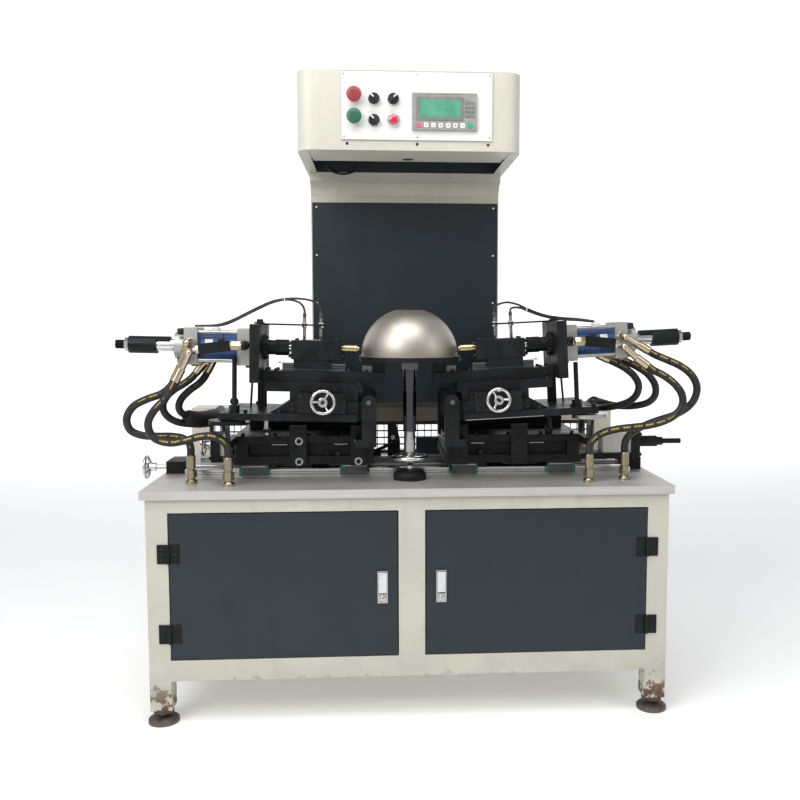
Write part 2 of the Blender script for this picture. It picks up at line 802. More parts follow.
    def piece(self, name, body, slot, angle=34):
        """The finished piece, riding on its body."""
        mesh = bpy.data.meshes.new(name)
        mesh.from_pydata(self.verts, [], self.faces)
        for finish in self.finishes:
            mesh.materials.append(FINISH[finish])
        mesh.polygons.foreach_set("material_index", self.kinds)
        mesh.polygons.foreach_set("use_smooth", [True] * len(self.faces))
        mesh.set_sharp_from_angle(angle=math.radians(angle))
        mesh.validate()
        return stand(name, mesh, body, slot)


def stand(name, mesh, body, slot):
    made = bpy.data.objects.new(name, mesh)
    bpy.context.scene.collection.objects.link(made)
    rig.slot(made, slot)
    if body:
        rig.ride(made, body)
    return made


def curved(points, spacing=6.0):
    """A smooth line through points, with a point about every spacing millimetres."""
    p = [Vector(q) for q in points]
    p = [p[0] * 2 - p[1], *p, p[-1] * 2 - p[-2]]
    out = []
    for i in range(1, len(p) - 2):
        steps = max(2, round((p[i + 1] - p[i]).length / spacing))
        for k in range(steps):
            t = k / steps
            a = p[i] * 2
            b = p[i + 1] - p[i - 1]
            c = p[i - 1] * 2 - p[i] * 5 + p[i + 1] * 4 - p[i + 2]
            d = p[i] * 3 - p[i - 1] - p[i + 1] * 3 + p[i + 2]
            out.append((a + b * t + c * t * t + d * t**3) / 2)
    return out + [p[-2]]


def reach_of(path):
    return sum((b - a).length for a, b in zip(path, path[1:]))


# ---------- repeated parts, grown by geometry nodes ----------


def grow(name, seed, tree, values):
    """The plain mesh that a tree makes from a seed mesh."""
    start = bpy.data.objects.new(name + "_seed", seed)
    bpy.context.scene.collection.objects.link(start)
    grower = start.modifiers.new("grow", "NODES")
    grower.node_group = tree.tree
    for item in tree.tree.interface.items_tree:
        if item.item_type == "SOCKET" and item.in_out == "INPUT" and item.name in values:
            grower[item.identifier] = values[item.name]
    bpy.context.view_layer.update()
    deps = bpy.context.evaluated_depsgraph_get()
    made = bpy.data.meshes.new_from_object(
        start.evaluated_get(deps), preserve_all_data_layers=True, depsgraph=deps,
    )
    made.name = name
    bpy.data.objects.remove(start)
    return made


def geometry_tree(name, sockets):
    made = bpy.data.node_groups.new(name, "GeometryNodeTree")
    made.interface.new_socket("Geometry", in_out="INPUT", socket_type="NodeSocketGeometry")
    made.interface.new_socket("Geometry", in_out="OUTPUT", socket_type="NodeSocketGeometry")
    for label, kind in sockets:
        made.interface.new_socket(label, in_out="INPUT", socket_type=kind)
    tree = Tree(made)
    source = made.nodes.new("NodeGroupInput")
    return tree, {item.name: Value(tree, item) for item in source.outputs if item.name}


def finish_tree(tree, geometry, finish):
    whole = tree.node("GeometryNodeRealizeInstances", None, {0: geometry})
    whole = tree.node("GeometryNodeSetMaterial", None, {"Geometry": whole, "Material": finish})
    tree.node("NodeGroupOutput", None, {0: whole})
    return tree


def stud_tree():
    """Stands a small pattern part on every point, along the point's own aim and at its own size."""
    tree, given = geometry_tree(
        "studs",
        [
            ("Pattern", "NodeSocketObject"), ("Diameter", "NodeSocketFloat"), ("Height", "NodeSocketFloat"),
            ("Finish", "NodeSocketMaterial"),
        ],
    )
    pattern = tree.node("GeometryNodeObjectInfo", None, {"Object": given["Pattern"]}, out=4)
    aim = tree.node("GeometryNodeInputNamedAttribute", {"data_type": "FLOAT_VECTOR"}, {"Name": "aim"})
    share = tree.node("GeometryNodeInputNamedAttribute", {"data_type": "FLOAT"}, {"Name": "share"})
    turn = tree.node("FunctionNodeAlignRotationToVector", {"axis": "Z"}, {"Vector": aim})
    size = tree.node(
        "ShaderNodeCombineXYZ", None, {0: given["Diameter"], 1: given["Diameter"], 2: given["Height"]},
    )
    size = tree.node("ShaderNodeVectorMath", {"operation": "SCALE"}, {0: size, "Scale": share})
    placed = tree.node(
        "GeometryNodeInstanceOnPoints", None,
        {"Points": given["Geometry"], "Instance": pattern, "Rotation": turn, "Scale": size},
    )
    return finish_tree(tree, placed, given["Finish"])


def hose_tree():
    """Draws a round cover along a line and keeps how far along and on which side each point lies."""
    tree, given = geometry_tree(
        "hose",
        [
            ("Radius", "NodeSocketFloat"), ("Rings", "NodeSocketInt"), ("Sides", "NodeSocketInt"),
            ("Finish", "NodeSocketMaterial"),
        ],
    )
    line = tree.node("GeometryNodeMeshToCurve", None, {0: given["Geometry"]})
    line = tree.node(
        "GeometryNodeResampleCurve", {"mode": "COUNT"}, {"Curve": line, "Count": given["Rings"]},
    )
    along = tree.node("GeometryNodeSplineParameter", out=1)
    line = tree.node(
        "GeometryNodeStoreNamedAttribute", {"data_type": "FLOAT", "domain": "POINT"},
        {"Geometry": line, "Name": "along", "Value": along},
    )
    section = tree.node(
        "GeometryNodeCurvePrimitiveCircle", None, {"Resolution": given["Sides"], "Radius": given["Radius"]},
    )
    place = tree.node("GeometryNodeInputPosition")
    side = tree.node("ShaderNodeVectorMath", {"operation": "NORMALIZE"}, {0: place})
    section = tree.node(
        "GeometryNodeStoreNamedAttribute", {"data_type": "FLOAT_VECTOR", "domain": "POINT"},
        {"Geometry": section, "Name": "side", "Value": side},
    )
    cover = tree.node(
        "GeometryNodeCurveToMesh", None, {"Curve": line, "Profile Curve": section, "Fill Caps": True},
    )
    return finish_tree(tree, cover, given["Finish"])


def socket_head():
    """Pattern of a cap screw one unit wide and high, with its hexagon socket."""
    s = Solids()
    rows = [(430, 0), (500, 60), (500, 900), (440, 1000)]
    points, faces = [], []
    sides = 18
    for radius, z in rows:
        points += [
            (radius * math.cos(2 * math.pi * k / sides), radius * math.sin(2 * math.pi * k / sides), z)
            for k in range(sides)
        ]
    for z in (1000, 450):
        points += [(250 * math.cos(math.pi * k / 3), 250 * math.sin(math.pi * k / 3), z) for k in range(6)]
    for i in range(3):
        faces += [
            [
                i * sides + k, i * sides + (k + 1) % sides, (i + 1) * sides + (k + 1) % sides,
                (i + 1) * sides + k,
            ]
            for k in range(sides)
        ]
    top, rim, floor = 3 * sides, 4 * sides, 4 * sides + 6
    for k in range(6):
        n = (k + 1) % 6
        faces.append(
            [top + 3 * k, top + 3 * k + 1, top + 3 * k + 2, top + (3 * k + 3) % sides, rim + n, rim + k]
        )
        faces.append([rim + k, rim + n, floor + n, floor + k])
    faces.append([floor + k for k in range(6)])
    faces.append(list(range(sides))[::-1])
    s.add(points, faces, "screw_black")
    return s


def round_head():
    """Pattern of a low round screw head with a cross slot drawn as a dimple."""
    s = Solids()
    s.turned(
        (0, 0, 0), (0, 0, 1),
        [(0, 0), (500, 0), (500, 250), (430, 620), (260, 900), (150, 980), (120, 620), (0, 560)],
        "screw_black", 14,
    )
    return s


def washer_disc():
    s = Solids()
    s.turned(
        (0, 0, 0), (0, 0, 1), [(0, 0), (490, 0), (500, 200), (500, 800), (480, 1000), (0, 1000)],
        "screw_black", 20,
    )
    return s


def key_cap():
    """Pattern of a membrane key."""
    s = Solids()
    s.box((-500, -500, 0), (500, 500, 1000), "screw_black", 120)
    return s


def patterned(shape, name):
    """A pattern part as an object that the tree can copy; it is removed once its copies are made."""
    mesh = bpy.data.meshes.new(name)
    mesh.from_pydata(shape.verts, [], shape.faces)
    mesh.polygons.foreach_set("use_smooth", [True] * len(shape.faces))
    mesh.set_sharp_from_angle(angle=math.radians(34))
    made = bpy.data.objects.new(name, mesh)
    bpy.context.scene.collection.objects.link(made)
    return made


def studs(name, places, pattern, diameter, height, finish, body, slot, place=None):
    """One piece of many like parts: places holds (point, aim) or (point, aim, share)."""
    place = place or Matrix.Identity(4)
    seed = bpy.data.meshes.new(name)
    seed.from_pydata([place @ (Vector(p[0]) / 1000) for p in places], [], [])
    aims = seed.attributes.new("aim", "FLOAT_VECTOR", "POINT")
    aims.data.foreach_set(
        "vector", [c for p in places for c in (place.to_3x3() @ Vector(p[1])).normalized()],
    )
    shares = seed.attributes.new("share", "FLOAT", "POINT")
    shares.data.foreach_set("value", [p[2] if len(p) > 2 else 1.0 for p in places])
    shape = patterned(pattern(), name + "_pattern")
    mesh = grow(
        name, seed, stud_tree(),
        {"Pattern": shape, "Diameter": diameter, "Height": height, "Finish": FINISH[finish]},
    )
    bpy.data.objects.remove(shape)
    return stand(name, mesh, body, slot)


# ---------- finishes on the fixed frame ----------


def solids_of(mesh):
    """The separate solids of a fixed node: for each, its faces, low corner and high corner."""
    ids, parent = {}, []
    names = []
    for v in mesh.vertices:
        key = tuple(round(c * 1e5) for c in v.co)
        if key not in ids:
            ids[key] = len(parent)
            parent.append(len(parent))
        names.append(ids[key])

    def root(k):
        while parent[k] != k:
            parent[k] = parent[parent[k]]
            k = parent[k]
        return k

    for face in mesh.polygons:
        first = root(names[face.vertices[0]])
        for v in face.vertices[1:]:
            parent[root(names[v])] = first
            first = root(first)
    groups = {}
    for face in mesh.polygons:
        groups.setdefault(root(names[face.vertices[0]]), []).append(face)
    return list(groups.values())


def dress(node, usual, rules=(), place=None, by_face=None):
    """Gives a fixed node its finishes. A rule is a test of a solid's size and middle, in
    millimetres, and its finish."""
    mesh = frame["nodes"][node].data
    back = (place or Matrix.Identity(4)).inverted()
    used = [usual]
    mesh.materials.clear()

    def index(finish):
        if finish not in used:
            used.append(finish)
        return used.index(finish)

    for faces in solids_of(mesh):
        corners = [back @ mesh.vertices[v].co * 1000 for f in faces for v in f.vertices]
        low = Vector([min(c[k] for c in corners) for k in range(3)])
        high = Vector([max(c[k] for c in corners) for k in range(3)])
        finish = next((f for test, f in rules if test(high - low, (high + low) / 2)), usual)
        for face in faces:
            own = by_face(back @ face.center * 1000, back.to_3x3() @ face.normal) if by_face else None
            face.material_index = index(own or finish)
    for finish in used:
        mesh.materials.append(FINISH[finish])


def near(value, wanted, slack=1.5):
    return abs(value - wanted) < slack


class MACHINE_OT_finishes(Operator):
    """Make the paint, metal, rubber and plastic finishes"""

    bl_idname = "machine.finishes"
    bl_label = "Finishes"

    def execute(self, context):
        paint, hoses = context.scene.punch_paint, context.scene.punch_hoses
        cream, slate, black = tuple(paint.cream), tuple(paint.slate), tuple(paint.black)
        FINISH.update(
            cream=painted("cream_coat", cream, 0.44, 0.16),
            frame_cream=painted("frame_coat", cream, 0.46, 0.2, rust=1.0),
            slate=painted("slate_coat", slate, 0.38, 0.3),
            black=blackened("black_oxide", black),
            dull_black=blackened("black_casting", tuple(c * 0.9 for c in black), 0.3, 0.55),
            carriage=moulded("carriage_steel", (0.05, 0.053, 0.056), 0.42),
            screw_black=blackened("black_screw", (0.012, 0.012, 0.013), 0.8, 0.36),
            table=ground("brushed_table", (0.62, 0.605, 0.585), 0, 0.52, 0.08, 0.10, stain=0.2, metal=0.7),
            rail=ground("ground_rail", (0.60, 0.60, 0.60), 0, 0.24),
            steel=ground("turned_steel", (0.56, 0.56, 0.56), 0, 0.27),
            satin=ground("satin_steel", (0.50, 0.49, 0.47), 2, 0.33),
            dark_steel=ground("dark_steel", (0.17, 0.17, 0.175), 0, 0.38),
            dark_chrome=plated("dark_chrome", (0.11, 0.11, 0.12), 0.16),
            chrome=plated("chrome_plate", (0.74, 0.74, 0.745), 0.09),
            wheel=plated("polished_wheel", (0.70, 0.69, 0.68), 0.17, 0.3),
            plating=plated("yellow_plating", tuple(paint.plating), 0.24, 0.4),
            elbow=plated("elbow_plating", (0.60, 0.50, 0.37), 0.2, 0.35),
            nose=plated("punch_bronze", tuple(paint.nose), 0.26, 0.3),
            cap=ground("cap_zinc", (0.50, 0.495, 0.475), 1, 0.46, 0.05, 0.05),
            barrel=patched_band("blue_barrel"),
            bowl=spun_bowl("spun_steel"),
            foot=scuffed_foot("cast_foot"),
            wire=plated("galvanised_wire", (0.10, 0.10, 0.10), 0.45),
            plate=painted("white_plate", (0.80, 0.80, 0.78), 0.34, 0.05),
            lined=moulded("plate_line", (0.42, 0.42, 0.41), 0.5),
            panel_grey=moulded("panel_grey", (0.30, 0.295, 0.28), 0.48),
            light_block=painted("pale_block", (0.56, 0.55, 0.50), 0.42, 0.2),
            red=moulded("red_button", (0.36, 0.045, 0.055), 0.5, 0.1),
            green=moulded("green_button", (0.028, 0.155, 0.09), 0.5, 0.1),
            lamp=moulded("red_lens", (0.62, 0.012, 0.045), 0.14, 1.0, 0.0),
            black_plastic=moulded("black_plastic", (0.018, 0.018, 0.02), 0.36, 0.2),
            white_plastic=moulded("white_plastic", (0.78, 0.78, 0.76), 0.4),
            key_grey=moulded("key_grey", (0.19, 0.19, 0.19), 0.5),
            key_red=moulded("key_red", (0.60, 0.13, 0.17), 0.45),
            key_green=moulded("key_green", (0.02, 0.42, 0.27), 0.45),
            seal=moulded("green_seal", (0.015, 0.115, 0.078), 0.5),
            screen=display_glass("display_glass"),
            hose=hose_cover("hose_cover", hoses),
            cable=moulded("cable_sheath", (0.014, 0.014, 0.015), 0.5),
            wrap=moulded("taped_wrap", (0.012, 0.012, 0.013), 0.6, 0.0, 0.3),
            tank=painted("tank_paint", (0.05, 0.075, 0.10), 0.35, 0.2),
            motor=painted("motor_paint", (0.09, 0.12, 0.15), 0.4, 0.2),
            dark_liner=painted("dark_liner", (0.016, 0.022, 0.03), 0.5, 0.3),
        )
        return {"FINISHED"}


class MACHINE_OT_dress_base(Operator):
    """Give the cabinet, column, head and slideways their finishes"""

    bl_idname = "machine.dress_base"
    bl_label = "Dress the Cabinet and Head"

    def execute(self, context):
        dress("cabinet_frame", "frame_cream")
        dress("cabinet_panels", "cream")
        dress("table_top", "table")
        dress("feet", "foot")
        dress("column", "cream")
        dress(
            "head", "cream", by_face=lambda p,
            n: "dark_liner" if n.dot(Vector((0, 42, 1721)) - p) > 0 else None,
        )
        dress("column_panel", "slate")
        dress("cable_duct", "slate")
        dress("rear_guard", "cream", [(lambda size, at: size.y < 6, "wire")])
        dress("door_hinges", "black")
        for side in SIDES:
            dress(
                f"{side}_door", "slate",
                [(lambda size, at: size.z < 60, "black"), (lambda size, at: size.x < 40, "satin")],
            )
            dress(f"{side}_latch_handle", "chrome")
        dress(
            "power_unit", "tank",
            [
                (lambda size, at: at.y > 200 and at.x > 0, "panel_grey"),
                (lambda size, at: at.z > 490 and size.x > 150, "motor"),
                (lambda size, at: near(size.x, 44, 3), "screw_black"),
                (lambda size, at: near(size.z, 60, 2), "steel"),
                (lambda size, at: near(size.x, 52, 2), "plating"),
            ],
        )
        dress(
            "control_plate", "plate",
            [
                (lambda size, at: near(size.x, 181), "panel_grey"),
                (lambda size, at: size.x < 60, "chrome"),
            ],
        )
        dress("red_button", "red")
        dress("green_button", "green")
        for k in (1, 2, 3):
            dress(f"selector_{k}", "black_plastic")
        dress("guide_rails", "rail", [(lambda size, at: size.x < 80, "dull_black")])
        dress("lead_screw", "steel", [(lambda size, at: near(size.z, 76, 3), "wheel")])
        dress("post_base", "dull_black")
        dress("post_wheel", "wheel")
        dress(
            "post_riser", "dark_chrome",
            by_face=lambda p, n: (
                "dull_black" if p.z > 1021.03 else "dark_steel" if p.z > 996.5
                else "steel" if p.z < 813.5 else None
            ),
        )
        r, flat, foot, high, thick = 140.5, 40.0, 5.0, 135.0, 1.5
        end = math.acos(flat / r)
        rise = (high - foot) / math.sin(end)

        def dome(grow):
            arc = [end * k / 24 for k in range(25)]
            return [((r + grow) * math.cos(a), foot + (rise + grow) * math.sin(a)) for a in arc]

        b = Solids()
        inner = [(0, high - thick), *dome(-thick)[::-1], (136.5, 3)]
        b.turned(
            (0, AXIS_Y, 1034), (0, 0, 1),
            [
                *inner, (136.5, 0), (146.6, 0), (147, 0.5), (147, 2.5), (146.6, 3), (140.5, 3), *dome(0),
                (0, high),
            ],
            "bowl", 128,
        )
        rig.replaces(b.piece("bowl_shell", "post_riser", "stainless", 30), "bowl")
        dress("table_fittings", "plating")
        return {"FINISHED"}


class MACHINE_OT_dress_units(Operator):
    """Give both punching units their finishes"""

    bl_idname = "machine.dress_units"
    bl_label = "Dress the Punching Units"

    def execute(self, context):
        for name, side in SIDES.items():
            place, flat = unit(side), mirrored(side)
            dress(
                f"{name}_saddle", "black",
                [
                    (lambda size, at: near(size.x, 86) and near(size.y, 60, 2), "carriage"),
                    (
                        lambda size, at: near(size.y, 60, 1) and at.x > 525 and at.z > 735 and size.x > 30,
                        "light_block",
                    ),
                    (lambda size, at: near(size.x, 14, 1) or near(size.x, 13, 1), "dark_steel"),
                ],
                flat,
            )
            dress(f"{name}_lock_spindle", "black", [(lambda size, at: near(size.z, 70, 3), "wheel")], flat)
            dress(f"{name}_tilt_table", "black", (), place)
            dress(f"{name}_tilt_wheel", "satin" if side > 0 else "black", (), place)
            dress(f"{name}_cross_wheel", "wheel", (), place)
            dress(f"{name}_cross_slide", "black", (), place)
            dress(
                f"{name}_beam", "black",
                [
                    (lambda size, at: near(size.y, 23, 1), "dark_steel"),
                    (lambda size, at: near(size.x, 8, 1), "nose"),
                    (lambda size, at: near(size.z, 19, 1), "dark_steel"),
                ],
                place,
            )
            dress(f"{name}_cylinder_plate", "black", (), place)
            dress(
                f"{name}_cylinder", "elbow",
                [
                    (lambda size, at: near(size.x, 112, 1) and near(size.y, 80, 1), "barrel"),
                    (lambda size, at: near(size.x, 112, 1) and near(size.y, 10, 1), "satin"),
                    (lambda size, at: near(size.x, 10, 1) and size.y < 25, "screw_black"),
                    (lambda size, at: near(size.y, 105, 1) or near(size.y, 76, 1), "cap"),
                    (lambda size, at: near(size.x, 74, 1) and at.y > AXIS_Y + 50, "black"),
                    (lambda size, at: near(size.y, 26, 0.6) and near(at.x, 550, 8), "black"),
                ],
                place,
                by_face=lambda p, n: (
                    "screw_black" if p.x < 476 and p.y < -320 and near(p.z, 1060, 14) else None
                ),
            )
            dress(
                f"{name}_piston_rod", "chrome",
                [
                    (lambda size, at: near(size.x, 38, 1), "black"),
                    (lambda size, at: near(size.x, 79, 1.2), "black"),
                    (lambda size, at: near(size.x, 12, 1), "steel"),
                ],
                place,
            )
            dress(f"{name}_ram", "black", (), place)
            dress(f"{name}_punch", "nose", [(lambda size, at: near(size.x, 6, 1), "steel")], place)
        return {"FINISHED"}


# ---------- pressure hoses and cables ----------

# Routes from a cylinder's ferrule to a fitting on the table. Each hose is cut in three equal
# stretches: cross slide to tilt table, tilt table to saddle, and saddle to table.
HOSES = {
    "left_hose_a": (
        (-666, -305, 974), (-676, -304, 955), (-704, -300, 932), (-745, -297, 917), (-785, -293, 896),
        (-806, -288, 862), (-800, -281, 828), (-770, -274, 811), (-730, -268, 807), (-690, -264, 806),
        (-657, -265, 801), (-640, -268, 790), (-633, -270, 774), (-633, -270, 752),
    ),
    "left_hose_b": (
        (-658, -336, 968), (-668, -338, 948), (-688, -338, 918), (-715, -338, 890), (-733, -336, 860),
        (-733, -332, 830), (-716, -328, 806), (-680, -325, 795), (-640, -323, 800), (-600, -323, 811),
        (-565, -323, 813), (-538, -323, 804), (-523, -323, 790), (-518, -323, 774), (-518, -323, 752),
    ),
    "left_hose_c": (
        (-632, -174, 984), (-644, -174, 970), (-668, -173, 952), (-698, -170, 934), (-724, -165, 910),
        (-736, -157, 880), (-726, -146, 852), (-698, -130, 832), (-655, -98, 822), (-624, -55, 820),
        (-610, 0, 822), (-606, 80, 822), (-608, 130, 806), (-610, 160, 780), (-610, 160, 752),
    ),
    "left_hose_d": (
        (-604, -148, 985), (-612, -148, 970), (-630, -147, 950), (-658, -145, 930), (-684, -142, 904),
        (-694, -135, 878), (-686, -124, 858), (-664, -106, 850), (-638, -80, 848), (-618, -40, 848),
        (-606, 0, 850), (-606, 80, 852), (-614, 150, 836), (-618, 192, 808), (-618, 208, 780),
        (-618, 208, 752),
    ),
    "right_hose_a": (
        (695, -303, 1050), (714, -303, 1039), (750, -304, 1024), (790, -304, 1006), (824, -303, 980),
        (842, -301, 945), (836, -299, 908), (812, -297, 880), (775, -295, 860), (735, -293, 847),
        (695, -291, 832), (660, -290, 814), (640, -290, 794), (633, -290, 774), (633, -290, 752),
    ),
    "right_hose_b": (
        (684, -330, 1008), (702, -331, 995), (735, -332, 978), (768, -332, 952), (788, -331, 922),
        (788, -330, 890), (766, -328, 862), (730, -326, 844), (690, -324, 834), (645, -323, 829),
        (600, -323, 824), (560, -323, 814), (534, -323, 798), (519, -323, 778), (519, -323, 752),
    ),
    "right_hose_c": (
        (612, -174, 1019), (632, -174, 1010), (662, -173, 994), (692, -170, 970), (710, -162, 940),
        (706, -150, 908), (686, -134, 886), (656, -112, 872), (628, -80, 864), (612, -40, 860),
        (606, 20, 858), (606, 80, 848), (608, 130, 818), (610, 160, 785), (610, 160, 752),
    ),
    "right_hose_d": (
        (656, -148, 1020), (678, -148, 1011), (712, -147, 994), (744, -145, 972), (768, -140, 940),
        (772, -132, 908), (756, -120, 884), (724, -104, 872), (688, -84, 868), (654, -56, 870),
        (630, -10, 876), (622, 40, 878), (620, 90, 868), (619, 150, 842), (618, 190, 812), (618, 208, 780),
        (618, 208, 752),
    ),
}


def hose_part(name, mesh, path, span, bodies):
    """The stretch of a hose between two distances from its start, as a closed piece that bends
    across one joint."""
    low, high = span
    part = bmesh.new()
    part.from_mesh(mesh)
    along = part.verts.layers.float["along"]
    outside = [
        f
        for f in part.faces if len(f.verts) == 4 and not low <= sum(v[along] for v in f.verts) / 4 <= high
    ]
    caps = [
        f
        for f in part.faces if len(f.verts) != 4 and not low - 0.001 <= f.verts[0][along] <= high + 0.001
    ]
    bmesh.ops.delete(part, geom=outside + caps, context="FACES")
    bmesh.ops.holes_fill(part, edges=part.edges, sides=0)
    bmesh.ops.recalc_face_normals(part, faces=part.faces)
    made = mesh.copy()
    part.to_mesh(made)
    part.free()
    made.name = name
    made.polygons.foreach_set("use_smooth", [True] * len(made.polygons))
    made.set_sharp_from_angle(angle=math.radians(50))
    piece = stand(name, made, None, "hose_rubber")
    total, line = 0.0, []
    for a, b in zip(path, path[1:]):
        if low - 1e-6 <= total <= high + 1e-6:
            line.append(a)
        total += (b - a).length
    if total <= high + 1e-6:
        line.append(path[-1])
    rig.blend(piece, bodies[0], bodies[1], start=line[0], end=line[-1])
    return piece, line


class MACHINE_OT_hoses(Operator):
    """Make the eight pressure hoses, each in three stretches that follow the slides"""

    bl_idname = "machine.hoses"
    bl_label = "Pressure Hoses"

    def execute(self, context):
        sizes = context.scene.punch_hoses
        tree = hose_tree()
        for name, route in HOSES.items():
            side = name.split("_")[0]
            line = [p / 1000 for p in curved(route)]
            total = reach_of(line)
            steps = 3 * round(total / sizes.spacing / 3)
            even = evenly(line, steps)
            seed = bpy.data.meshes.new(name)
            seed.from_pydata(even, [(k, k + 1) for k in range(len(even) - 1)], [])
            mesh = grow(
                name, seed, tree,
                {
                    "Radius": sizes.diameter / 2, "Rings": steps + 1, "Sides": sizes.sides,
                    "Finish": FINISH["hose"],
                },
            )
            rings = sorted({round(v.value, 5) for v in mesh.attributes["along"].data})
            cuts = [rings[k * steps // 3] for k in range(4)]
            chain = [
                (f"{side}_cross", f"{side}_tilt"), (f"{side}_tilt", f"{side}_saddle"),
                (f"{side}_saddle", "base"),
            ]
            for k, bodies in enumerate(chain):
                piece, part = hose_part(f"{name}_{k + 1}", mesh, even, (cuts[k], cuts[k + 1]), bodies)
                if k == 0:
                    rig.replaces(piece, name)
                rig.cord(
                    piece, exit=part[0], length=reach_of(part), diameter=sizes.diameter, far_end="object",
                    stiffness="stiff", lay="hanging", path=part,
                )
        # tape round the two rear hoses of the left unit where they run side by side
        middle = curved(
            [
                (-676, -117, 846), (-660, -102, 838), (-645, -88, 835), (-631, -68, 834), (-621, -48, 834),
                (-612, -20, 835), (-608, 4, 836),
            ]
        )
        w = Solids()
        n = len(middle) - 1
        w.sweep(
            middle, [25.6 - 3.2 * abs(2 * k / n - 1) ** 8 + 0.7 * math.sin(1.9 * k) for k in range(n + 1)],
            "wrap", 24,
        )
        wrap = w.piece("left_hose_wrap", None, "hose_rubber")
        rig.blend(wrap, "left_tilt", "left_saddle", start=(-0.70, -0.15, 0.905), end=(-0.608, 0.0, 0.836))
        return {"FINISHED"}


def evenly(line, steps):
    """The same line in equal steps."""
    total = reach_of(line)
    out, walked, k = [], 0.0, 0
    for n in range(steps + 1):
        goal = total * n / steps
        while k < len(line) - 2 and walked + (line[k + 1] - line[k]).length < goal:
            walked += (line[k + 1] - line[k]).length
            k += 1
        step = (line[k + 1] - line[k]).length
        out.append(line[k].lerp(line[k + 1], min(1, (goal - walked) / step)))
    return out


class MACHINE_OT_sensors(Operator):
    """Make the sensor bars, their switches, cables and clips"""

    bl_idname = "machine.sensors"
    bl_label = "Sensors and Cables"

    def execute(self, context):
        cable = context.scene.punch_trim.cable
        for name, side in SIDES.items():
            place = unit(side)
            s = Solids(place)
            s.box((244, -246, 1119), (432, -234, 1124), "black", 0.6)
            s.box((425, -252, 1121.5), (453, -228, 1127), "black", 0.8)
            s.turned(
                (438, -240, 1121.4), (0, 0, 1),
                [
                    (0, 0), (9, 0), (9.5, 1), (9.5, 13), (8.5, 14), (5, 14), (5, 9), (0, 9),
                ], "screw_black", 20,
            )
            for x, drop in ((262, 34), (310, 40)):
                s.rod((x, -240, 1119 - drop), (x, -240, 1145), 4.6, "dark_steel", 0.6, 18)
                for n in range(11):
                    z = 1092 + n * 4.6
                    s.ring((x, -240, z), (0, 0, 1), 4.5, 0.7, "satin", 16, 5)
                s.prism((x, -240, 1124.2), (x, -240, 1128.6), 15, "chrome")
                s.prism((x, -240, 1114.4), (x, -240, 1118.8), 15, "chrome")
                s.rod((x, -240, 1119 - drop - 5), (x, -240, 1119 - drop), 4.2, "black_plastic", 0.8, 16)
            s.piece(f"{name}_sensors", f"{name}_cross", "black_steel")
            # switch strapped round the barrel, with its label and the cable clip on top
            c = Solids(place)
            c.ring((538, AXIS_Y, AXIS_Z), (1, 0, 0), 40.9, 0.9, "black_plastic", 44, 6)
            c.box((534, -285, 1070), (552, -278, 1080), "black_plastic", 1.2)
            c.box((539, -288, 1072.5), (549, -284, 1077.5), "black_plastic", 1)
            c.curved_plate((566, 588), (AXIS_Y, AXIS_Z), (40.15, 40.6), (150, 186), "white_plastic")
            c.box((552, -252, 1096), (574, -230, 1109), "white_plastic", 2)
            c.box((556, -249, 1108), (570, -233, 1112.5), "white_plastic", 1.6)
            c.piece(f"{name}_barrel_switch", f"{name}_cross", "black_plastic")
            # twin cables from the sensors over the cylinder plate, held together by a tie
            tie = (366, -248, 1189) if side < 0 else (358, -243, 1154)
            left_runs = (
                (
                    (310, -240, 1156), (311, -240, 1166), (318, -241, 1180), (336, -242, 1190),
                    (366, -243, 1193), (402, -244, 1184), (440, -245, 1166), (478, -246, 1146),
                    (510, -247, 1129), (536, -248, 1118), (560, -248, 1114), (590, -247, 1113),
                    (622, -246, 1112),
                ),
                (
                    (262, -240, 1156), (263, -239, 1166), (270, -238, 1180), (290, -237, 1192),
                    (322, -236, 1197), (362, -236, 1196), (402, -236, 1188), (440, -237, 1171),
                    (478, -238, 1151), (510, -239, 1134), (536, -239, 1123), (560, -239, 1116),
                    (590, -239, 1113), (622, -239, 1112),
                ),
            )
            right_runs = (
                (
                    (310, -240, 1156), (311, -240, 1162), (319, -239, 1166.5), (342, -237, 1164.4),
                    (364, -235, 1154.2), (402, -230, 1139.2), (439, -227, 1129), (475, -230, 1123),
                    (515, -236, 1119), (540, -240, 1115), (560, -241, 1113),
                ),
                (
                    (262, -240, 1156), (262.5, -239, 1165), (270, -238, 1175.6), (300, -236, 1183),
                    (331, -234, 1176), (354, -232, 1164.8), (392, -226, 1148), (428, -223, 1136),
                    (465, -225, 1129), (505, -230, 1124), (535, -233, 1119), (560, -234, 1114),
                ),
            )
            runs = left_runs if side < 0 else right_runs
            for k, run in enumerate(runs):
                line = evenly([place @ (p / 1000) for p in curved(run[::-1])], CABLE_STEPS)
                w = Solids()
                w.sweep([p * 1000 for p in line], cable * 500, "cable", 10)
                piece = w.piece(f"{name}_sensor_cable_{k + 1}", f"{name}_cross", "black_plastic")
                plug = Solids(place)
                plug.turned(
                    (runs[k][0][0], -240, 1145), (0, 0, 1),
                    [(0, 0), (5.4, 0), (5.4, 7), (3.4, 12), (0, 13)], "black_plastic", 16,
                )
                boot = plug.piece(f"{name}_sensor_plug_{k + 1}", f"{name}_cross", "black_plastic")
                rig.cord(
                    piece, exit=line[0], length=reach_of(line), diameter=cable, far_end="connector",
                    stiffness="medium", lay="hanging", path=line, with_pieces=[boot],
                )
            t = Solids(place)
            t.box(tie, (tie[0] + 3, tie[1] + 17, tie[2] + 12), "white_plastic", 1)
            t.piece(f"{name}_cable_tie", f"{name}_cross", "black_plastic")
        return {"FINISHED"}


# ---------- fine parts of the head and cabinet ----------


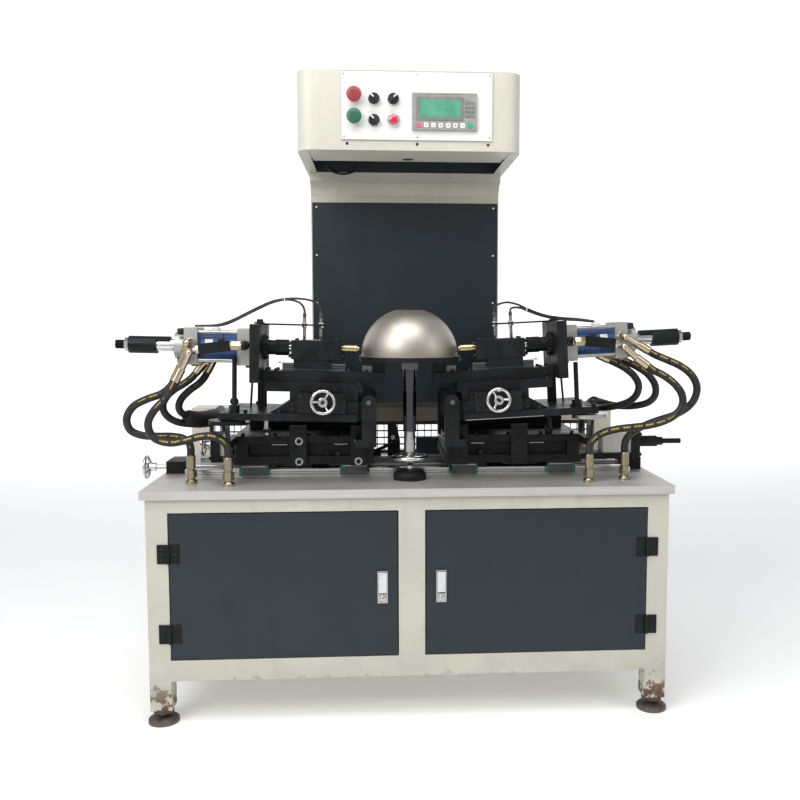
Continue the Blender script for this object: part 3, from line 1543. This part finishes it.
class MACHINE_OT_head_parts(Operator):
    """Make the display, keys, lamp, pointers, plate screws and the lining of the head"""

    bl_idname = "machine.head_parts"
    bl_label = "Head Parts"

    def execute(self, context):
        trim = context.scene.punch_trim
        y = -322
        s = Solids()
        s.box((18, y - 1.6, 1693), (149, y - 0.1, 1757), "key_grey", 0.8)
        s.box((26, y - 2.0, 1700), (141, y - 1.5, 1749), "screen", 0.4)
        s.box((8, y - 1.2, 1764.5), (185, y - 0.1, 1766), "lined", 0.2)
        s.box((30, y - 2.3, 1703.5), (137, y - 1.9, 1705), "key_grey", 0.1)
        s.piece("display", "base", "black_plastic")
        spots = [(x, row) for x in (156.5, 166, 175.5) for row in (1742, 1730, 1718, 1706)]
        studs(
            "number_keys", [((x, y - 0.1, z), (0, -1, 0)) for x, z in spots], key_cap, 0.0072, 0.0016,
            "key_grey", "base", "black_plastic",
        )
        row = [24.5 + 20.4 * k for k in range(8)]
        studs(
            "arrow_keys", [((x, y - 0.1, 1680), (0, -1, 0)) for x in row[1:7]], key_cap, 0.0125, 0.0016,
            "white_plastic", "base", "white_plate",
        )
        studs(
            "start_key", [((row[7], y - 0.1, 1680), (0, -1, 0))], key_cap, 0.0132, 0.0016, "key_green",
            "base", "green_plastic",
        )
        studs(
            "stop_key", [((row[0], y - 0.1, 1680), (0, -1, 0))], key_cap, 0.0132, 0.0016, "key_red", "base",
            "red_plastic",
        )
        a = Solids()
        for k, shape in ((1, "left"), (2, "down"), (3, "up"), (4, "left"), (5, "right"), (6, "right")):
            x, z = row[k], 1680
            tip = {"left": (-3, 0), "right": (3, 0), "up": (0, 3), "down": (0, -3)}[shape]
            side = (tip[1] * 0.8, tip[0] * 0.8)
            base = (-tip[0] * 0.6, -tip[1] * 0.6)
            outline = [
                (x + tip[0], z + tip[1]), (x + base[0] + side[0], z + base[1] + side[1]),
                (x + base[0] - side[0], z + base[1] - side[1]),
            ]
            a.hull([(p, depth, q) for p, q in outline for depth in (y - 2.0, y - 1.4)], "black_plastic")
        a.piece("key_arrows", "base", "black_plastic")
        corners = [(x, z) for x in (-184, 20, 224) for z in (1648, 1819)]
        studs(
            "plate_screws", [((x, -312.9, z), (0, -1, 0)) for x, z in corners], round_head,
            trim.sheet_screw * 0.8, 0.0018, "satin", "base", "chrome",
        )
        studs(
            "head_screws", [((x, -309.9, 1630), (0, -1, 0)) for x in (-175, 20, 220)], round_head,
            trim.sheet_screw, 0.0025, "screw_black", "base", "black_steel",
        )
        e = Solids()
        for low, high in (
            ((-192, -313.6, 1639.6), (232, -313.0, 1641)), ((-192, -313.6, 1826), (232, -313.0, 1827.3)),
            ((-192, -313.6, 1641), (-190.8, -313.0, 1826)), ((230.8, -313.6, 1641), (232, -313.0, 1826)),
        ):
            e.box(low, high, "lined", 0.1)
        for x, z in ((-100, 1751), (-46, 1751), (-100, 1693), (-46, 1694)):
            e.box((x - 17, -313.5, z + 22), (x + 17, -313.0, z + 22.7), "lined", 0.1)
        e.piece("plate_lines", "base", "white_plate")
        lamp = Solids()
        lamp.turned(
            (-46, -316.2, 1694), (0, -1, 0),
            [(11.2, 0), (16.8, 0), (16.8, 4.4), (15.6, 5.6), (13.4, 5.6), (13.4, 3), (11.2, 3), (11.2, 0)],
            "chrome", 36,
        )
        lamp.turned(
            (-46, -319.2, 1694), (0, -1, 0),
            [(0, 0), (13.2, 0), (13.2, 7), (11.4, 11), (7, 13.4), (0, 14.4)], "lamp", 36,
        )
        lamp.piece("lamp", "base", "red_plastic")
        for k, (x, z) in enumerate(((-100, 1751), (-46, 1751), (-100, 1693)), 1):
            p = Solids(
                Matrix.Translation(Vector((x, -321, z)) / 1000) @ Matrix.Rotation(
                    math.radians(45 if k == 2 else -45), 4, "Y",
                )
            )
            p.box((-2.0, -16.6, 1), (2.0, -15.1, 12.9), "white_plastic", 0.3)
            p.box((-2.0, -15.4, 12.0), (2.0, -5.4, 13.9), "white_plastic", 0.3)
            p.piece(f"pointer_{k}", f"selector_{k}", "white_plate")
            q = Solids()
            q.turned(
                (x, -316.2, z), (0, -1, 0),
                [(15.2, 0), (17.2, 0), (17.2, 1.4), (16, 3.0), (15.2, 3.0), (15.2, 0)], "chrome", 36,
            )
            q.turned(
                (x, -319.4, z), (0, -1, 0),
                [(13.4, 0), (15.4, 0), (15.4, 3.4), (14.6, 4.6), (13.4, 4.6), (13.4, 0)], "black_plastic",
                36,
            )
            q.piece(f"selector_ring_{k}", "base", "chrome")
        for tint, z in (("red", 1760), ("green", 1701)):
            m = Solids()
            m.ring((-155, -332.4, z), (0, 1, 0), 19.4, 1.5, tint, 44, 8)
            for k in range(3):
                m.ring((-155, -340.6 + 0.35 * k, z), (0, 1, 0), 13 - 4 * k, 0.5, tint, 32, 6)
            m.piece(f"{tint}_button_rim", f"{tint}_button", f"{tint}_plastic")
        # lining inside the opening under the head, a loose cable and the front strip with its cable hole
        h = Solids()
        h.box((-283, -186.5, 1617), (283, -112, 1619), "cream", 0.3)
        h.box((-292, -196, 1615.6), (292, -188, 1690), "dark_liner", 0.3)
        h.box((-292, 59, 1615.6), (292, 63, 1690), "dark_liner", 0.3)
        h.box((-292, -188, 1680), (292, 59, 1684), "dark_liner", 0.3)
        for x in (-289, 285):
            h.box((x, -188, 1615.6), (x + 4, 59, 1680), "dark_liner", 0.3)
        h.box((-60, -110, 1640), (10, -40, 1680), "black_plastic", 1)
        h.box((-150, -60, 1650), (-90, 20, 1680), "black_plastic", 1)
        h.turned((0, -149, 1616.4), (0, 0, 1), [(0, 0), (17, 0), (17, 0.5), (0, 0.5)], "dark_liner", 28)
        h.piece("head_lining", "base", "cream_paint")
        loop = [
            (-252, 44, 1634), (-247, 46, 1622), (-236, 48, 1613), (-220, 49, 1607.5), (-202, 50, 1605),
            (-184, 49, 1607), (-168, 48, 1612), (-157, 46, 1621), (-152, 44, 1634),
        ]
        line = evenly([p / 1000 for p in curved(loop)], 30)
        w = Solids()
        w.sweep([p * 1000 for p in line], 3.2, "cable", 10)
        cable = w.piece("head_cable", "base", "black_plastic")
        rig.cord(
            cable, exit=line[0], length=reach_of(line), diameter=HEAD_CABLE, far_end="object",
            stiffness="medium", lay="hanging", path=line,
        )
        return {"FINISHED"}


class MACHINE_OT_cabinet_parts(Operator):
    """Make the hinge screws, panel screws, key slots, louvres and rail plugs"""

    bl_idname = "machine.cabinet_parts"
    bl_label = "Cabinet Parts"

    def execute(self, context):
        trim = context.scene.punch_trim
        panel = [(x, z) for x in (-290, 290) for z in (1508, 1353, 1197, 1041, 886)]
        studs(
            "panel_screws", [((x, 107, z), (0, -1, 0)) for x, z in panel], round_head, trim.sheet_screw,
            0.0026, "chrome", "base", "chrome",
        )
        plugs = [((x, y, 694), (0, 0, 1)) for y in (-170, 65) for x in range(-640, 641, 60)]
        studs("rail_plugs", plugs, washer_disc, 0.011, 0.0003, "satin", "base", "ground_steel")
        fixed, swung = [], {"left": [], "right": []}
        for name, side in SIDES.items():
            for z in (264, 492):
                for dz in (-16, 0, 16):
                    fixed.append(((side * 694, -391, z + dz), (0, -1, 0)))
                    swung[name].append(((side * 657, -391.1, z + dz), (0, -1, 0)))
        studs("frame_hinge_screws", fixed, round_head, 0.0078, 0.0024, "screw_black", "base", "black_steel")
        for name, side in SIDES.items():
            studs(
                f"{name}_hinge_screws", swung[name], round_head, 0.0078, 0.0024, "screw_black",
                f"{name}_door", "black_steel",
            )
            k = Solids()
            x = side * 83
            k.turned(
                (x, -399.0, 356), (0, -1, 0), [(0, 0), (5.6, 0), (6, 0.6), (6, 1.6), (5, 2.2), (0, 2.2)],
                "chrome", 24,
            )
            k.box((x - 0.9, -401.7, 351.6), (x + 0.9, -401.0, 360.4), "black_plastic", 0.1)
            k.ring((x, -399.2, 356), (0, 1, 0), 8.2, 1.0, "chrome", 32, 6)
            k.piece(f"{name}_key_slot", f"{name}_door", "chrome")
        # rear service panel on the column with slots for air, and its lock
        r = Solids()
        r.box((-250, 395.1, 930), (250, 396.6, 1560), "cream", 0.6)
        r.box((-232, 396.4, 1230), (-214, 402, 1262), "black_plastic", 2)
        r.piece("column_door", "base", "cream_paint")
        slots = [((x, 396.4, 1000 + 16 * k), (0, 1, 0)) for k in range(8) for x in (-90, -30, 30, 90)]
        studs("column_louvres", slots, louvre, 0.05, 0.003, "cream", "base", "cream_paint")
        rear = [((x, 396.5, z), (0, 1, 0)) for x in (-240, 240) for z in (945, 1150, 1350, 1545)]
        studs(
            "column_door_screws", rear, round_head, trim.sheet_screw, 0.0026, "screw_black", "base",
            "black_steel",
        )
        back = [
            ((x, 366.1, 240 + 18 * k), (0, 1, 0))
            for k in range(12) for x in (-560, -500, -440, 440, 500, 560)
        ]
        studs("cabinet_louvres", back, louvre, 0.05, 0.003, "cream", "base", "cream_paint")
        side_slots = [
            ((sx * 718.1, y, 460 + 18 * k), (sx, 0, 0))
            for sx in (-1, 1) for k in range(5) for y in (-180, -120, 120, 180)
        ]
        studs("side_louvres", side_slots, louvre, 0.05, 0.003, "cream", "base", "cream_paint")
        return {"FINISHED"}


def louvre():
    """Pattern of a pressed air slot, one unit long."""
    s = Solids()
    s.hull(
        [(x, y, z) for x in (-500, 500) for y, z in ((-110, 0), (110, 0))]
        + [(x, y, 1000) for x in (-430, 430) for y in (-50, 30)],
        "screw_black",
    )
    return s


# ---------- fine parts of the punching units ----------


class MACHINE_OT_unit_parts(Operator):
    """Make the screws, seals, stems and small fittings of both punching units"""

    bl_idname = "machine.unit_parts"
    bl_label = "Unit Parts"

    def execute(self, context):
        trim = context.scene.punch_trim
        big = trim.cap_screw
        for name, side in SIDES.items():
            place, flat = unit(side), mirrored(side)
            seals = Solids(flat)
            t = trim.seal * 1000
            for x in (121, 207 - t, 420, 506 - t):
                for y in (-170, 65):
                    seals.box((x, y - 30.6, 677), (x + t, y - 29.9, 708), "seal", 0.2)
                    seals.box((x, y + 29.9, 677), (x + t, y + 30.6, 708), "seal", 0.2)
                    for e in (x - 0.6, x + t - 0.4):
                        if abs(e - x) < 1 and x in (121, 420) or abs(e - x) > 1 and x not in (121, 420):
                            seals.box((e, y - 30.6, 677), (e + 1.0, y - 13.5, 708), "seal", 0.2)
                            seals.box((e, y + 13.5, 677), (e + 1.0, y + 30.6, 708), "seal", 0.2)
                            seals.box((e, y - 13.5, 696), (e + 1.0, y + 13.5, 708), "seal", 0.2)
            for x, far in ((128, 200), (427, 499)):
                seals.box((x, -200.9, 703), (far, -200.2, 706), "satin", 0.1)
            seals.piece(f"{name}_seals", f"{name}_saddle", "black_plastic")
            clamps = [(x, z) for x in (152, 327) for z in (722, 783)]
            bolts = [((x, -224, z), (0, -1, 0)) for x, z in clamps]
            studs(
                f"{name}_washers", bolts, washer_disc, 0.024, 0.0018,
                "satin" if side < 0 else "screw_black", f"{name}_saddle", "ground_steel", flat,
            )
            bolts = [((x, -225.8, z), (0, -1, 0)) for x, z in clamps]
            bolts += [((x, -212, 724), (0, -1, 0), 0.8) for x in (230, 395, 450)]
            bolts += [((x, -212, 787), (0, -1, 0), 0.8) for x in (205, 250, 390, 440, 490)]
            bolts += [((x, y, 797), (0, 0, 1), 0.9) for x in (118, 200, 300, 400, 495) for y in (-195, 90)]
            bolts += [
                ((709 if side > 0 else 591, y, z), (1, 0, 0), 0.8)
                for y in (-182, -118) for z in (728, 791)
            ]
            studs(
                f"{name}_saddle_screws", bolts, socket_head, big, big * 0.7, "screw_black",
                f"{name}_saddle", "black_steel", flat,
            )
            m = Solids(flat)
            # strips and screws on the front of the saddle, and the pins on its deck
            pin = "steel" if side < 0 else "black"
            m.box((362, -213.2, 770.6), (408, -211.9, 772.8), "satin", 0.3)
            m.box((185, -213.2, 770.6), (225, -211.9, 772.8), "satin", 0.3)
            m.rod((425, -190, 797), (425, -190, 812), 11, pin, 1)
            m.rod((425, -190, 812), (425, -190, 845), 7, pin, 0.6)
            # rib along the deck behind the tilt table
            m.box((142, -20, 797), (500, -8, 838), "dull_black", 0.8)
            m.prism((425, -190, 806), (425, -190, 816), 24, "screw_black")
            m.rod((470, 60, 797), (470, 60, 830), 8, "steel", 0.8)
            m.rod((213, -206, 745), (213, -222, 745), 6.5, "screw_black", 1)
            m.rod((243, -206, 745), (243, -216, 745), 5, "black", 1)
            m.box((262, -213.2, 716), (296, -211.9, 734), "black", 0.3)
            m.box((150.5, -196, 736.4), (477.5, -190, 775.6), "dull_black", 0.4)
            m.box((120, -221, 690), (127, -201, 704), "black", 0.5)
            m.piece(f"{name}_saddle_fittings", f"{name}_saddle", "ground_steel")
            # threads of the tilt spindle and of the stop rod
            rings = [((522, -298, 800 + 3.2 * k), (0, 0, 1)) for k in range(11)]
            studs(
                f"{name}_spindle_thread", rings, thread_ring, 0.0146, 0.0022, "black", f"{name}_saddle",
                "black_steel", flat,
            )
            rod, turns = (500, 41) if side < 0 else (484, 33)
            rings = [((rod, -306, 892 + 3.2 * k), (0, 0, 1)) for k in range(turns)]
            studs(
                f"{name}_stop_thread", rings, thread_ring, 0.0146, 0.0022, "black", f"{name}_tilt",
                "black_steel", place,
            )
            # screws of the tilt table and cover
            bolts = [((x, y, 870), (0, 0, 1), 0.9) for x in (375, 470) for y in (-300, -40)]
            bolts += [((x, -335, z), (0, -1, 0), 0.75) for x in (192, 310) for z in (880, 922)]
            bolts += [((x, -318, z), (0, -1, 0), 0.7) for x in (160, 335) for z in (882, 897)]
            bolts += [((x, -334, 860), (0, -1, 0), 0.7) for x in (365, 395, 500)]
            studs(
                f"{name}_tilt_screws", bolts, socket_head, big, big * 0.7, "screw_black", f"{name}_tilt",
                "black_steel", place,
            )
            u = Solids(place)
            # strip on the right plate's edge, wedge rib, eye bolt and stop block
            if side > 0:
                u.box((156, -334.6, 851.5), (380, -333.8, 853.3), "satin", 0.2)
            u.slab([(345, 870), (402, 870), (345, 905)], 1, -300, -130, "black", 0.8)
            x, y = (525, -150) if side < 0 else (529, -322)
            u.rod((x, y, 870), (x, y, 877), 7.5, "black", 1)
            u.ring((x, y, 886.5), (0, 1, 0), 9.6, 3.3, "black", 32, 10)
            u.box((200, -340, 884), (212, -334.9, 896), "black", 0.5)
            u.piece(f"{name}_tilt_fittings", f"{name}_tilt", "black_steel")
            # screws of the cross slide, the cylinder's rear cap and its flange
            gibs = [((150 + 28 * k, -300, 951), (0, -1, 0), 0.62) for k in range(10)]
            gibs += [((x, y, 957), (0, 0, 1), 0.7) for x in (150, 404) for y in (-290, -120)]
            gibs += [((x, -275, 973), (0, -1, 0), 0.75) for x in (98, 250, 400)]
            gibs += [((x, y, 989), (0, 0, 1), 0.8) for x in (130, 178, 388, 414) for y in (-266, -214)]
            around = [
                (
                    AXIS_Y + 29 * math.cos(math.pi * (k + 0.5) / 3),
                    AXIS_Z + 29 * math.sin(math.pi * (k + 0.5) / 3),
                )
                for k in range(6)
            ]
            gibs += [((418.2, y, z), (-1, 0, 0), 0.55) for y, z in around]
            studs(
                f"{name}_cross_screws", gibs, socket_head, big, big * 0.65, "screw_black", f"{name}_cross",
                "black_steel", place,
            )
            caps = [
                ((654.4, AXIS_Y + a, AXIS_Z + b), (1, 0, 0))
                for a in (-40.5, 40.5) for b in (-40.5, 40.5)
            ]
            studs(
                f"{name}_rear_cap_screws", caps, socket_head, 0.0185, 0.009, "screw_black", f"{name}_cross",
                "black_steel", place,
            )
            front = [
                ((676.4, AXIS_Y + 28 * math.cos(a), AXIS_Z + 28 * math.sin(a)), (1, 0, 0), 0.55)
                for a in (0.4, 1.97, 3.54, 5.11)
            ]
            studs(
                f"{name}_flange_screws", front, socket_head, 0.013, 0.006, "screw_black", f"{name}_cross",
                "black_steel", place,
            )
            v = Solids(place)
            v.box((428, -157, 870.9), (455, -143, 957.6), "black", 1)
            v.rod((474, -162, 871.2), (470, -160, 958), 3.4, "cable", 0.5, 12)
            v.turned(
                (418.4, AXIS_Y, AXIS_Z), (1, 0, 0),
                [(23, 0), (35, 0), (36, 1), (36, 6.4), (23, 6.4), (23, 0)], "dull_black", 36,
            )
            v.prism((477, -338, 1060), (506.5, -338, 1060), 24, "plating", 6)
            v.turned(
                (473, -309, 1060), (0, 1, 0),
                [(11.4, 0), (13.6, 0.6), (13.6, 15.4), (11.4, 15.4), (11.4, 0)], "dull_black", 28,
            )
            v.prism((592.6, -338, 1047.8), (602, -338, 1046.5), 21, "satin", 6)
            v.turned(
                (602, -338, 1046.5), (1, 0, -0.14), [(0, 0), (7, 0), (7, 7), (5, 9), (0, 9)], "satin", 20,
            )
            v.turned(
                (625, -293.0, 1064), (0, -1, 0),
                [(13.5, 0), (15, 0.8), (15, 5), (13.5, 6), (12.2, 6), (12.2, 0), (13.5, 0)], "elbow", 28,
            )
            v.rod((470, -240, 1003.4), (470, -240, 994), 9, "screw_black", 1.2)
            v.rod((625, -240, 1003.4), (625, -240, 996), 9, "screw_black", 1.2)
            v.box((376, -251, 1010.2), (384, -229, 1014), "steel", 0.4)
            v.piece(f"{name}_cross_fittings", f"{name}_cross", "black_steel")
            screws = [((201, y, z), (-1, 0, 0)) for y in (-262, -218) for z in (1032, 1068)]
            screws += [((345, y, z), (1, 0, 0)) for y in (-262, -218) for z in (1032, 1068)]
            screws += [((x, y, 1077), (0, 0, 1), 0.7) for x in (215, 331) for y in (-262, -218)]
            studs(
                f"{name}_ram_screws", screws, socket_head, 0.011, 0.008, "screw_black", f"{name}_ram",
                "black_steel", place,
            )
            turns = [((821.2 + 2.6 * k, AXIS_Y, AXIS_Z), (1, 0, 0)) for k in range(10)]
            studs(
                f"{name}_rod_thread", turns, thread_ring, 0.0262, 0.0022, "black", f"{name}_ram",
                "black_steel", place,
            )
            g = Solids(place)
            g.box((262, -243, 1077), (318, -237, 1079.5), "satin", 0.4)
            g.curved_plate((692, 729.6), (AXIS_Y, AXIS_Z), (19.4, 25), (38, 142), "dull_black", 20)
            sleeve = [
                (12.2, 0), (20.5, 0), (21.3, 0.8), (21.3, 32), (20.5, 32.8), (18.7, 32.8), (18.7, 9.6),
                (12.2, 9.6), (12.2, 0),
            ]
            g.turned((391.2, AXIS_Y, AXIS_Z), (1, 0, 0), sleeve, "dull_black", 36)
            g.piece(f"{name}_ram_fittings", f"{name}_ram", "brass")
            # boss of the cross handwheel
            w = Solids(place)
            w.rod((247, -387.2, 908), (247, -389.6, 908), 5, "screw_black", 0.6, 20)
            w.ring((247, -373.2, 908), (0, 1, 0), 12.2, 1.4, "wheel", 36, 8)
            w.piece(f"{name}_wheel_boss", f"{name}_cross_wheel", "chrome")
        return {"FINISHED"}


def thread_ring():
    """Pattern of one turn of a thread, drawn as a pointed ring."""
    s = Solids()
    s.turned(
        (0, 0, 0), (0, 0, 1), [(0, 0), (440, 0), (500, 400), (500, 600), (440, 1000), (0, 1000)],
        "screw_black", 20,
    )
    return s


class MACHINE_OT_slide_parts(Operator):
    """Make the bracket behind the post and the hub of the lead screw's handwheel"""

    bl_idname = "machine.slide_parts"
    bl_label = "Slideway Parts"

    def execute(self, context):
        s = Solids()
        s.slab(
            [(-62, 673), (-36, 673), (-20, 690), (-20, 742), (-34, 802), (-62, 802)], 1, 92, 98, "black",
            0.5,
        )
        s.sweep([(-24, 90, 742), (-60, 89, 726), (-100, 88, 708)], 6, "black", 12)
        s.box((-108, 80, 673), (-84, 100, 712), "black", 1)
        s.rod((-44, 88, 752), (-44, 79, 752), 7, "white_plastic", 1)
        s.piece("rear_bracket", "base", "black_steel")
        c = Solids()
        c.rod((-800, -55, 684), (-788, -55, 684), 9, "wheel", 1, 24)
        c.piece("screw_wheel_hub", "lead_screw", "chrome")
        return {"FINISHED"}


class MACHINE_OT_stage(Operator):
    """Make the floor, the light and the camera"""

    bl_idname = "machine.stage"
    bl_label = "Stage"

    def execute(self, context):
        look = context.scene.punch_stage
        scene = context.scene
        data = bpy.data.cameras.new("camera")
        data.sensor_width = 36
        data.lens = look.lens
        data.shift_x = -0.0424
        data.clip_end = 60
        camera = bpy.data.objects.new("camera", data)
        camera.location = (-0.094, -2.825, 1.132)
        camera.rotation_euler = (math.radians(90 - 5.016), 0, math.radians(-3.668))
        scene.collection.objects.link(camera)
        scene.camera = camera
        mesh = bpy.data.meshes.new("floor")
        line = [
            (-12, 0),
            *((6 + 4 * math.sin(a), 4 - 4 * math.cos(a)) for a in (math.pi * k / 40 for k in range(21))),
            (10, 9),
        ]
        verts = [(x, y, z) for y, z in line for x in (-16, 16)]
        mesh.from_pydata(
            verts, [], [(2 * k, 2 * k + 1, 2 * k + 3, 2 * k + 2) for k in range(len(line) - 1)],
        )
        mesh.polygons.foreach_set("use_smooth", [True] * len(mesh.polygons))
        r = Recipe("floor_grey")
        grain = r.noise(2.2, 3)
        tint = tuple(look.floor)
        # the backdrop is lit least beside the machine and most at its far wall
        near_wall, far_wall = 0.6, 7.0
        glow = r.ramp(r.axis(1), near_wall, far_wall, look.glow * 0.3, look.glow)
        glow = r.blend(glow, (0.0, 0.0, 0.0), (1.0, 1.0, 1.0))
        mesh.materials.append(
            r.surface(
                Base_Color=r.blend(grain, tuple(c * 0.985 for c in tint), tint), Roughness=0.75,
                Specular_IOR_Level=0.2, Emission_Color=glow, Emission_Strength=1.0,
            )
        )
        floor = bpy.data.objects.new("floor", mesh)
        scene.collection.objects.link(floor)
        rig.stage(floor)
        world = bpy.data.worlds.new("surround")
        world.use_nodes = True
        scene.world = world
        sky = Tree(world.node_tree)
        world.node_tree.nodes.clear()
        way = sky.node("ShaderNodeTexCoord", out=0)
        height = sky.node("ShaderNodeSeparateXYZ", None, {0: way}, out=2)
        tone = sky.node(
            "ShaderNodeValToRGB",
            {
                "stops": [
                    (0.0, (0.80, 0.80, 0.79)), (0.52, (1.0, 1.0, 1.0)), (0.72, (0.62, 0.64, 0.67)),
                    (1.0, (0.50, 0.52, 0.55)),
                ]
            },
            {0: height * 0.5 + 0.5},
        )
        back = sky.node("ShaderNodeBackground", None, {"Color": tone, "Strength": look.sky})
        sky.node("ShaderNodeOutputWorld", None, {0: back})
        for name, place, aim, size, power in (
            ("key", (-2.3, -2.9, 2.9), (0, 0, 1.2), (2.2, 1.6), look.key),
            ("fill", (2.8, -2.0, 2.4), (0, 0, 1.1), (1.2, 1.6), look.key * 0.2),
            ("top", (-0.3, -1.3, 3.4), (0, 0, 0.9), (2.6, 1.4), look.key * 0.7),
        ):
            lamp = bpy.data.lights.new(name, "AREA")
            lamp.shape = "RECTANGLE"
            lamp.size, lamp.size_y = size
            lamp.energy = power
            made = bpy.data.objects.new(name, lamp)
            made.location = place
            made.rotation_euler = (Vector(aim) - Vector(place)).to_track_quat("-Z", "Y").to_euler()
            scene.collection.objects.link(made)
        scene.view_settings.view_transform = "Standard"
        return {"FINISHED"}


class MACHINE_PT_panel(Panel):
    """Steps that make the machine"""

    bl_idname = "MACHINE_PT_panel"
    bl_label = "Punching Machine"
    bl_space_type = "VIEW_3D"
    bl_region_type = "UI"
    bl_category = "Punching Machine"

    def draw(self, context):
        for group in (
            context.scene.punch_paint, context.scene.punch_hoses, context.scene.punch_trim,
            context.scene.punch_stage,
        ):
            box = self.layout.box()
            for name in group.__annotations__:
                box.prop(group, name)
        for step in STEPS:
            self.layout.operator(step.bl_idname)


GROUPS = {
    "punch_paint": MachinePaint, "punch_hoses": HoseSizes, "punch_trim": TrimSizes,
    "punch_stage": StageLook,
}
STEPS = (
    MACHINE_OT_stage,
    MACHINE_OT_finishes,
    MACHINE_OT_hoses,
    MACHINE_OT_sensors,
    MACHINE_OT_dress_base,
    MACHINE_OT_dress_units,
    MACHINE_OT_head_parts,
    MACHINE_OT_cabinet_parts,
    MACHINE_OT_unit_parts,
    MACHINE_OT_slide_parts,
)


def register():
    for made in (*GROUPS.values(), *STEPS, MACHINE_PT_panel):
        bpy.utils.register_class(made)
    for name, group in GROUPS.items():
        setattr(bpy.types.Scene, name, PointerProperty(type=group))


def unregister():
    for name in GROUPS:
        delattr(bpy.types.Scene, name)
    for made in reversed((*GROUPS.values(), *STEPS, MACHINE_PT_panel)):
        bpy.utils.unregister_class(made)


def main():
    register()
    for step in STEPS:
        kind, name = step.bl_idname.split(".")
        getattr(getattr(bpy.ops, kind), name)()
    with open("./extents.json", "w") as out:
        json.dump({"cad": [list(c) for c in CAD_BOX], "visual": [list(c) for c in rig.bounds()]}, out)


if __name__ == "__main__":
    main()
